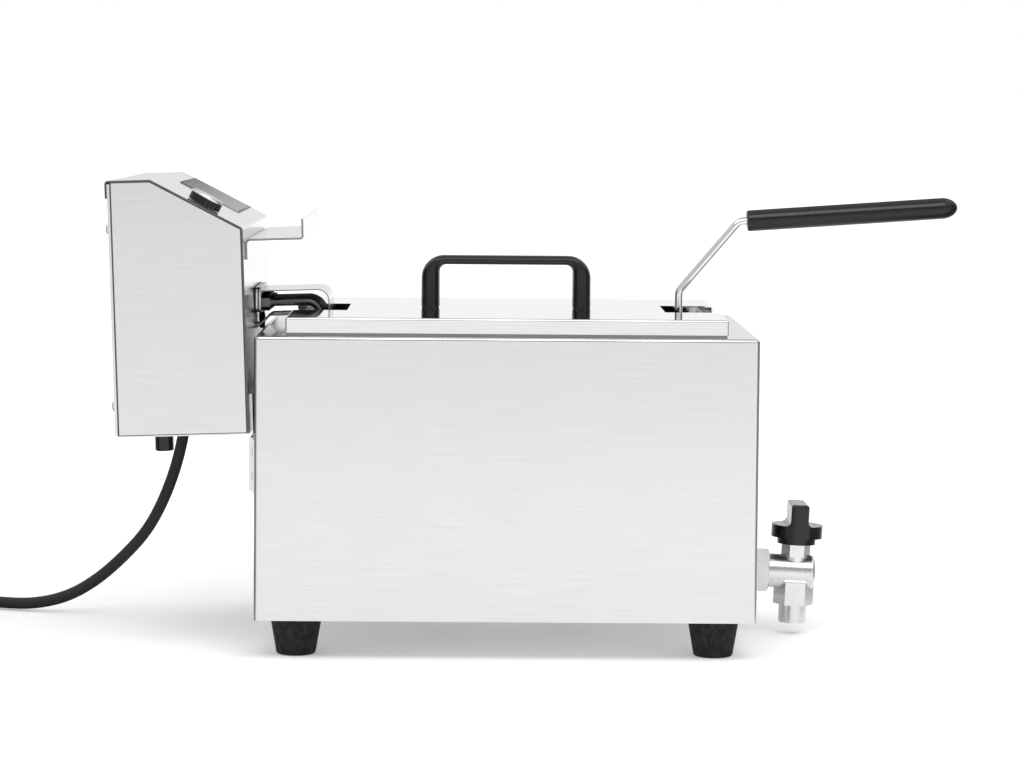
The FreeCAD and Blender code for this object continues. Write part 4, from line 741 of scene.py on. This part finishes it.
class FRYER_OT_grip(bpy.types.Operator):
    """Mould the basket's grip with its long rounded nose"""

    bl_idname = "fryer.grip"
    bl_label = "Basket grip"

    def execute(self, context):
        straight = GRIP_LENGTH - GRIP_NOSE
        profile = [(GRIP_RADIUS * share, height) for share, height in GRIP_RIM]
        for i in range(ARC_STEPS):
            turn = math.pi / 2 * i / ARC_STEPS
            profile.append((GRIP_RADIUS * math.cos(turn), straight + GRIP_NOSE * math.sin(turn)))
        profile.append((0, GRIP_LENGTH))
        way = (math.cos(GRIP_RISE), 0, math.sin(GRIP_RISE))
        mesh = bmesh.new()
        stamp(mesh, turned(profile, MOULDED_STEPS), facing(way, GRIP_START))
        new_piece("basket_grip_moulding", mesh, "basket", "grip_black", "black_moulding", "basket_grip")
        return {"FINISHED"}


class FRYER_OT_lid_handle(bpy.types.Operator):
    """Mould the lid's bow handle with an oval section"""

    bl_idname = "fryer.lid_handle"
    bl_label = "Lid handle"

    def execute(self, context):
        low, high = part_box("lid_handle")
        middle = (low.x + high.x) / 2
        half = (high.x - low.x) / 2
        pairs = [((half, low.z), (half - HANDLE_LEG, low.z))]
        for i in range(ARC_STEPS + 1):
            turn = math.pi / 2 * i / ARC_STEPS
            back, fall = 1 - math.cos(turn), 1 - math.sin(turn)
            pairs.append(((half - HANDLE_OUT_R * back, high.z - HANDLE_OUT_R * fall),
                          (half - HANDLE_LEG - HANDLE_IN_R * back, high.z - HANDLE_BAR - HANDLE_IN_R * fall)))
        pairs += [((-outer[0], outer[1]), (-inner[0], inner[1])) for outer, inner in reversed(pairs)]
        rings = []
        for outer, inner in pairs:
            far = Vector((middle + outer[0], 0, outer[1]))
            near = Vector((middle + inner[0], 0, inner[1]))
            rings.append(oval((far + near) / 2, (far - near) / 2, high.y, HANDLE_POWER))
        mesh = bmesh.new()
        cap(mesh, loft(mesh, rings))
        new_piece("lid_handle_moulding", mesh, "lid", "grip_black", "black_moulding", "lid_handle")
        return {"FINISHED"}


class FRYER_OT_screws(bpy.types.Operator):
    """Set the pan-head screws with their cross recesses"""

    bl_idname = "fryer.screws"
    bl_label = "Screws"

    def execute(self, context):
        back = (-math.cos(HEAD_LEAN), 0, -math.sin(HEAD_LEAN))
        down = (0, 0, -1)
        for node, body, way, height in (("head_screws", "head", back, SCREW_HEIGHT),
                                        ("foot_screws", "body", down, FOOT_SCREW_HEIGHT),
                                        ("lid_handle_screws", "lid", down, SCREW_HEIGHT)):
            mesh = bmesh.new()
            for low, high in solid_boxes(node):
                centre = (low + high) / 2
                axis = 0 if way is back else 2
                centre[axis] = low[axis] + height
                radius = (high.y - low.y) / 2
                stamp(mesh, self.head(radius, height), facing(way, centre))
            new_piece(node + "_crossed", mesh, body, "fastener_steel", "zinc_plate", node)
        return {"FINISHED"}

    def head(self, radius, height):
        """Pan head on the local XY plane with a cross recess in its top."""
        turns = [2 * math.pi * i / FASTENER_STEPS for i in range(FASTENER_STEPS)]
        part = bmesh.new()
        rings = []
        for share, level in PAN_HEAD:
            out = share * radius
            rings.append([(out * math.cos(turn), out * math.sin(turn), level * height) for turn in turns])
        rows = loft(part, rings)
        part.faces.new(rows[0])
        top = [part.edges.get((rows[-1][i - 1], rows[-1][i])) for i in range(FASTENER_STEPS)]
        arm = radius * CROSS_ARM
        half = radius * CROSS_HALF
        corner = ((arm, -half), (arm, half), (half, half))
        places = []
        for quarter in range(4):
            turn = Matrix.Rotation(math.pi / 2 * quarter, 3, "Z")
            places += [turn @ Vector((x, y, height)) for x, y in corner]
        cross = [part.verts.new(place) for place in places]
        rim = [part.edges.new((cross[i - 1], cross[i])) for i in range(len(cross))]
        bmesh.ops.triangle_fill(part, use_beauty=True, use_dissolve=False, edges=top + rim)
        walls = bmesh.ops.extrude_edge_only(part, edges=rim)["geom"]
        floor = [item for item in walls if isinstance(item, bmesh.types.BMVert)]
        bmesh.ops.translate(part, vec=(0, 0, -height * CROSS_DEEP), verts=floor)
        edges = [item for item in walls if isinstance(item, bmesh.types.BMEdge)]
        edges = [edge for edge in edges if set(edge.verts) <= set(floor)]
        bmesh.ops.triangle_fill(part, use_beauty=True, use_dissolve=False, edges=edges)
        return part


class FRYER_OT_rivets(bpy.types.Operator):
    """Set the domed rivets of the head's receiver"""

    bl_idname = "fryer.rivets"
    bl_label = "Rivets"

    def execute(self, context):
        mesh = bmesh.new()
        for low, high in solid_boxes("bracket_rivets"):
            radius = (high.y - low.y) / 2
            dome = [(radius * out, RIVET_HEIGHT * up) for out, up in RIVET_DOME]
            seat = Vector((low.x + RIVET_HEIGHT, (low.y + high.y) / 2, (low.z + high.z) / 2))
            stamp(mesh, turned(dome, FASTENER_STEPS), facing((-1, 0, 0), seat))
        new_piece("bracket_rivet_heads", mesh, "body", "fastener_steel", "zinc_plate", "bracket_rivets")
        return {"FINISHED"}


class FRYER_OT_painted_shade_seams(bpy.types.Operator):
    """Lay a dark strip of painted shade round each end panel of the head, standing for the shadow at its folded
    edges
    """

    bl_idname = "fryer.seams"
    bl_label = "Panel seams"

    def execute(self, context):
        width = context.scene.fryer_look.painted_shade_seam_width
        for node in ("case_side_left", "case_side_right"):
            mesh = solid_copy(node)
            side = math.copysign(1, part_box(node)[0].y)
            other = [face for face in mesh.faces if face.normal.y * side < FACES_ASIDE]
            bmesh.ops.delete(mesh, geom=other, context="FACES")
            whole = bmesh.ops.dissolve_faces(mesh, faces=mesh.faces[:])["region"][0]
            outline = [vert.co.copy() for vert in whole.verts]
            inner = self.offset(outline, whole.normal, -width * SEAM_INSIDE)
            outer = self.offset(outline, whole.normal, width * (1 - SEAM_INSIDE))
            mesh.free()
            out = Vector((0, side * SEAM_LIFT, 0))
            bead = bmesh.new()
            loft(bead, [self.moved(inner, -out), self.moved(inner, out), self.moved(outer, out),
                        self.moved(outer, -out)], closed=True)
            # The dark strip is painted shade of the panel's folded edge
            new_piece(node + "_seam", bead, "head", "seal_rubber", "seal_rubber")
        return {"FINISHED"}

    def moved(self, points, way):
        return [point + way for point in points]

    def offset(self, points, normal, width):
        """Outline moved outward by a width, with mitred corners."""
        made = []
        for before, point, after in zip(points[-1:] + points[:-1], points, points[1:] + points[:1]):
            first = (point - before).cross(normal).normalized()
            second = (after - point).cross(normal).normalized()
            made.append(point + (first + second) * (width / (1 + first.dot(second))))
        return made


class FRYER_OT_painted_shade_edges(bpy.types.Operator):
    """Darken the cut edges of the bent sheets with painted shade, for the dark lines along their edges"""

    bl_idname = "fryer.cut_edges"
    bl_label = "Cut edges"

    def execute(self, context):
        # Each cut edge is a thin dark strip of painted shade
        for node, finish in (("case_wrap", "steel_painted_edge_shade"), ("basket_hanger", "pale_steel_painted_edge_shade"),
                             ("element_cover", "pale_steel_painted_edge_shade")):
            mesh = solid_copy(node)
            other = [face for face in mesh.faces if abs(face.normal.y) < FACES_ASIDE]
            bmesh.ops.delete(mesh, geom=other, context="FACES")
            raised = bmesh.ops.extrude_face_region(mesh, geom=mesh.faces[:])["geom"]
            for vert in raised:
                if isinstance(vert, bmesh.types.BMVert):
                    vert.co.y += math.copysign(EDGE_LIFT, vert.co.y)
            new_piece(node + "_edge", mesh, "head", "heater_steel", finish)
        return {"FINISHED"}


class FRYER_OT_panel_shade_bands(bpy.types.Operator):
    """Lay dark bands of painted shade at both ends of the panel's film, where the edges of its recess lie in
    shadow
    """

    bl_idname = "fryer.panel"
    bl_label = "Panel film"

    def execute(self, context):
        low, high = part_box("panel_overlay")
        across = Vector((0, 1, 0))
        down = across.cross(SLOPE_NORMAL)
        centre = (low + high) / 2 + SLOPE_NORMAL * FILM_THICK / 2
        turn = Matrix((down, across, SLOPE_NORMAL)).transposed().to_4x4()
        bands = bmesh.new()
        for place in (-1, 1):
            band = bmesh.new()
            bmesh.ops.create_cube(band, size=1.0)
            band.transform(Matrix.Diagonal((BAND_LONG, FILM_WIDE, BAND_THICK, 1)))
            bmesh.ops.bevel(
                band, geom=band.edges, affect="EDGES", offset=BAND_BEVEL, segments=2, profile=0.5, material=-1)
            spot = centre + down * (place * (FILM_LONG / 2 - BAND_MARGIN))
            stamp(bands, band, Matrix.Translation(spot) @ turn)
        new_piece("panel_painted_shade_bands", bands, "head", "overlay_grey", "dark_film_painted_shade")
        return {"FINISHED"}


class FRYER_OT_tie(bpy.types.Operator):
    """Strap the coil of cord with a band and its turned-over tail"""

    bl_idname = "fryer.tie"
    bl_label = "Cord tie"

    def execute(self, context):
        middle = COIL_START + COIL_LEFT * (2 * COIL_RADIUS - COIL_STEP) + UP * (TIE_SPAN / 2 - TIE_BELOW)
        half = (TIE_SPAN + TIE_THICK) / 2
        loop = self.rounded(half, TIE_CORNER)
        tail = self.rounded(half + TAIL_LIFT, TAIL_CORNER)
        tail = sorted(step for step in tail if step[1] > 0 and step[0] < half * TAIL_REACH)
        mesh = bmesh.new()
        loft(mesh, [self.section(middle, *step) for step in loop], closed=True)
        cap(mesh, loft(mesh, [self.section(middle, *step) for step in tail]))
        new_piece("cord_strap", mesh, "head", "cord_rubber", "cord_rubber", "cord_tie")
        return {"FINISHED"}

    def rounded(self, half, radius):
        """Steps round a square with round corners: place in the loop's plane and outward normal."""
        reach = (half - radius) * math.sqrt(2)
        steps = []
        for quarter in range(4):
            corner = math.pi / 2 * (quarter + 0.5)
            for i in range(CORNER_STEPS + 1):
                turn = math.pi / 2 * (quarter + i / CORNER_STEPS)
                out, up = math.cos(turn), math.sin(turn)
                across = reach * math.cos(corner) + radius * out
                high = reach * math.sin(corner) + radius * up
                steps.append((across, high, out, up))
        return steps

    def section(self, middle, across, high, out, up):
        """Section of the strap with soft edges at one step of its loop."""
        place = middle + COIL_LEFT * across + UP * high
        normal = (COIL_LEFT * out + UP * up) * (TIE_THICK / 2)
        side = COIL_HEADING * (TIE_WIDE / 2)
        return [place + normal * thick + side * wide for thick, wide in TIE_SECTION]


class FRYER_OT_plug(bpy.types.Operator):
    """Mould the mains plug with its ringed neck and finger grooves"""

    bl_idname = "fryer.plug"
    bl_label = "Mains plug"

    def execute(self, context):
        profile = [*PLUG_HEEL]
        profile += self.repeated(RING_SHAPE, RING_START, PLUG_NECK, RING_GROWTH)
        profile += PLUG_SHOULDER
        profile += self.repeated(GROOVE_SHAPE, GROOVE_START, PLUG_BODY, 0)
        profile += PLUG_FACE
        mesh = bmesh.new()
        stamp(mesh, turned(profile, MOULDED_STEPS), facing(COIL_HEADING, coil_end()))
        new_piece("plug_moulding", mesh, "head", "cord_rubber", "cord_rubber", "plug_body")
        return {"FINISHED"}

    def repeated(self, shape, start, radius, growth):
        """A shape repeated along the axis, wider by the growth at each step."""
        return [(radius + growth * i - inset, start + RING_PITCH * i + height)
                for i in range(RING_COUNT) for inset, height in shape]


class FRYER_OT_stage(bpy.types.Operator):
    """Set up the floor, the light and the camera"""

    bl_idname = "fryer.stage"
    bl_label = "Stage"

    def execute(self, context):
        scene = context.scene
        scene.view_settings.view_transform = "Standard"
        self.floor(scene)
        self.light(scene)
        self.camera(scene)
        return {"FINISHED"}

    def floor(self, scene):
        """Lay a pale floor that looks darker beside the object in reflections."""
        mesh = bmesh.new()
        bmesh.ops.create_grid(mesh, x_segments=1, y_segments=1, size=FLOOR_HALF)
        floor = linked_mesh("floor", mesh)
        finish = new_finish("pale_floor")
        camera, glossy, clear = [finish.node("ShaderNodeLightPath", {}, {}, out)
                                 for out in ("Is Camera Ray", "Is Glossy Ray", "Is Transmission Ray")]
        clamped = {"operation": "ADD", "use_clamp": True}
        seen = finish.node("ShaderNodeMath", clamped, {0: camera + glossy, 1: clear})
        place = finish.node("ShaderNodeTexCoord", {}, {}, "Object")
        side = abs(finish.axis(place, "X"))
        away = finish.axis(place, "Y")
        wedge = finish.ramp(side * FLOOR_SLANT - away, *FLOOR_WEDGE)
        front = finish.ramp(side * FRONT_SLANT + away, *FLOOR_FRONT)
        beside = wedge * front * finish.ramp(side, *FLOOR_CLEAR)
        ends = {0: place, 1: GLOW_CENTRE}
        reach = finish.node("ShaderNodeVectorMath", {"operation": "DISTANCE"}, ends, "Value")
        level = finish.ramp(reach, *FLOOR_GLOW)
        pale = scene.fryer_look.floor
        shade = finish.between(finish.noise(3.0), tone(pale, 0.99), tone(pale, 1.01))
        diffuse = finish.node("ShaderNodeBsdfDiffuse", {}, {"Color": shade})
        glow = finish.node("ShaderNodeEmission", {}, {"Color": WHITE, "Strength": seen * level})
        both = finish.node("ShaderNodeAddShader", {}, {0: diffuse, 1: glow})
        dark = finish.node("ShaderNodeBsdfDiffuse", {}, {"Color": tone(WHITE[:3], FLOOR_FLANK)})
        mixed = finish.node("ShaderNodeMixShader", {}, {0: glossy * beside, 1: both, 2: dark})
        finish.node("ShaderNodeOutputMaterial", {}, {"Surface": mixed})
        dress(floor, finish.owner)

    def light(self, scene):
        """Light the studio by its walls, which have dark flags at both sides, and by one lamp above."""
        scene.world = bpy.data.worlds.new("studio")
        finish = Finish(scene.world)
        way = finish.node("ShaderNodeTexCoord", {}, {}, "Generated")
        side = abs(finish.axis(way, "X"))
        away = finish.axis(way, "Y")
        high = finish.axis(way, "Z")
        wedge = finish.ramp(side * SKY_SLANT - away, *SKY_WEDGE)
        front = finish.ramp(side * FRONT_SLANT + away, *SKY_FRONT)
        flag = wedge * front * finish.ramp(side, *SKY_SIDE) * finish.ramp(high, *SKY_LOW)
        ahead = finish.ramp(away, *SKY_AHEAD)
        gap = finish.ramp(high, *SKY_GAP) * finish.ramp(side, *SKY_GAP_SIDE)
        above = finish.ramp(high, *SKY_ABOVE)
        level = (ahead * (1.0 - gap) + above) * (1.0 - flag)
        seen = finish.node("ShaderNodeLightPath", {}, {}, "Is Camera Ray")
        strength = level + (1.0 - level) * seen
        sky = finish.node("ShaderNodeBackground", {}, {"Color": WHITE, "Strength": strength})
        finish.node("ShaderNodeOutputWorld", {}, {"Surface": sky})

        lamp = bpy.data.lights.new("overhead", "AREA")
        lamp.shape = "RECTANGLE"
        lamp.size = LAMP_WIDE
        lamp.size_y = LAMP_DEEP
        lamp.energy = LAMP_POWER
        linked("overhead", lamp).matrix_world = facing(LAMP_AXIS, LAMP_PLACE)

    def camera(self, scene):
        """Set the camera where the photograph was taken from."""
        data = bpy.data.cameras.new("camera")
        data.lens = CAMERA_LENS
        data.sensor_width = CAMERA_SENSOR
        data.clip_start, data.clip_end = CAMERA_CLIP
        camera = linked("camera", data)
        level = Vector((math.cos(CAMERA_YAW), -math.sin(CAMERA_YAW), 0))
        ahead = UP.cross(level)
        forward = ahead * math.cos(CAMERA_PITCH) - UP * math.sin(CAMERA_PITCH)
        above = level.cross(forward)
        right = level * math.cos(CAMERA_ROLL) + above * math.sin(CAMERA_ROLL)
        top = above * math.cos(CAMERA_ROLL) - level * math.sin(CAMERA_ROLL)
        turn = Matrix((right, top, -forward)).transposed()
        camera.matrix_world = Matrix.Translation(CAMERA_PLACE) @ turn.to_4x4()
        scene.camera = camera


class FRYER_PT_panel(bpy.types.Panel):
    """Sidebar list of the fryer's pieces"""

    bl_idname = "FRYER_PT_panel"
    bl_label = "Deep fryer"
    bl_space_type = "VIEW_3D"
    bl_region_type = "UI"
    bl_category = "Fryer"

    def draw(self, context):
        for piece in PIECES:
            self.layout.operator(piece.bl_idname)
        for name in FryerLook.__annotations__:
            self.layout.prop(context.scene.fryer_look, name)


PIECES = (FRYER_OT_finishes, FRYER_OT_mesh, FRYER_OT_grip, FRYER_OT_lid_handle, FRYER_OT_screws,
          FRYER_OT_rivets, FRYER_OT_painted_shade_seams, FRYER_OT_painted_shade_edges, FRYER_OT_panel_shade_bands, FRYER_OT_tie,
          FRYER_OT_plug, FRYER_OT_cord, FRYER_OT_stage)
CLASSES = (FryerLook, *PIECES, FRYER_PT_panel)


def register():
    for item in CLASSES:
        bpy.utils.register_class(item)
    bpy.types.Scene.fryer_look = bpy.props.PointerProperty(type=FryerLook)


def unregister():
    del bpy.types.Scene.fryer_look
    for item in reversed(CLASSES):
        bpy.utils.unregister_class(item)


def main():
    register()
    for piece in PIECES:
        group, name = piece.bl_idname.split(".")
        getattr(getattr(bpy.ops, group), name)()


if __name__ == "__main__":
    main()
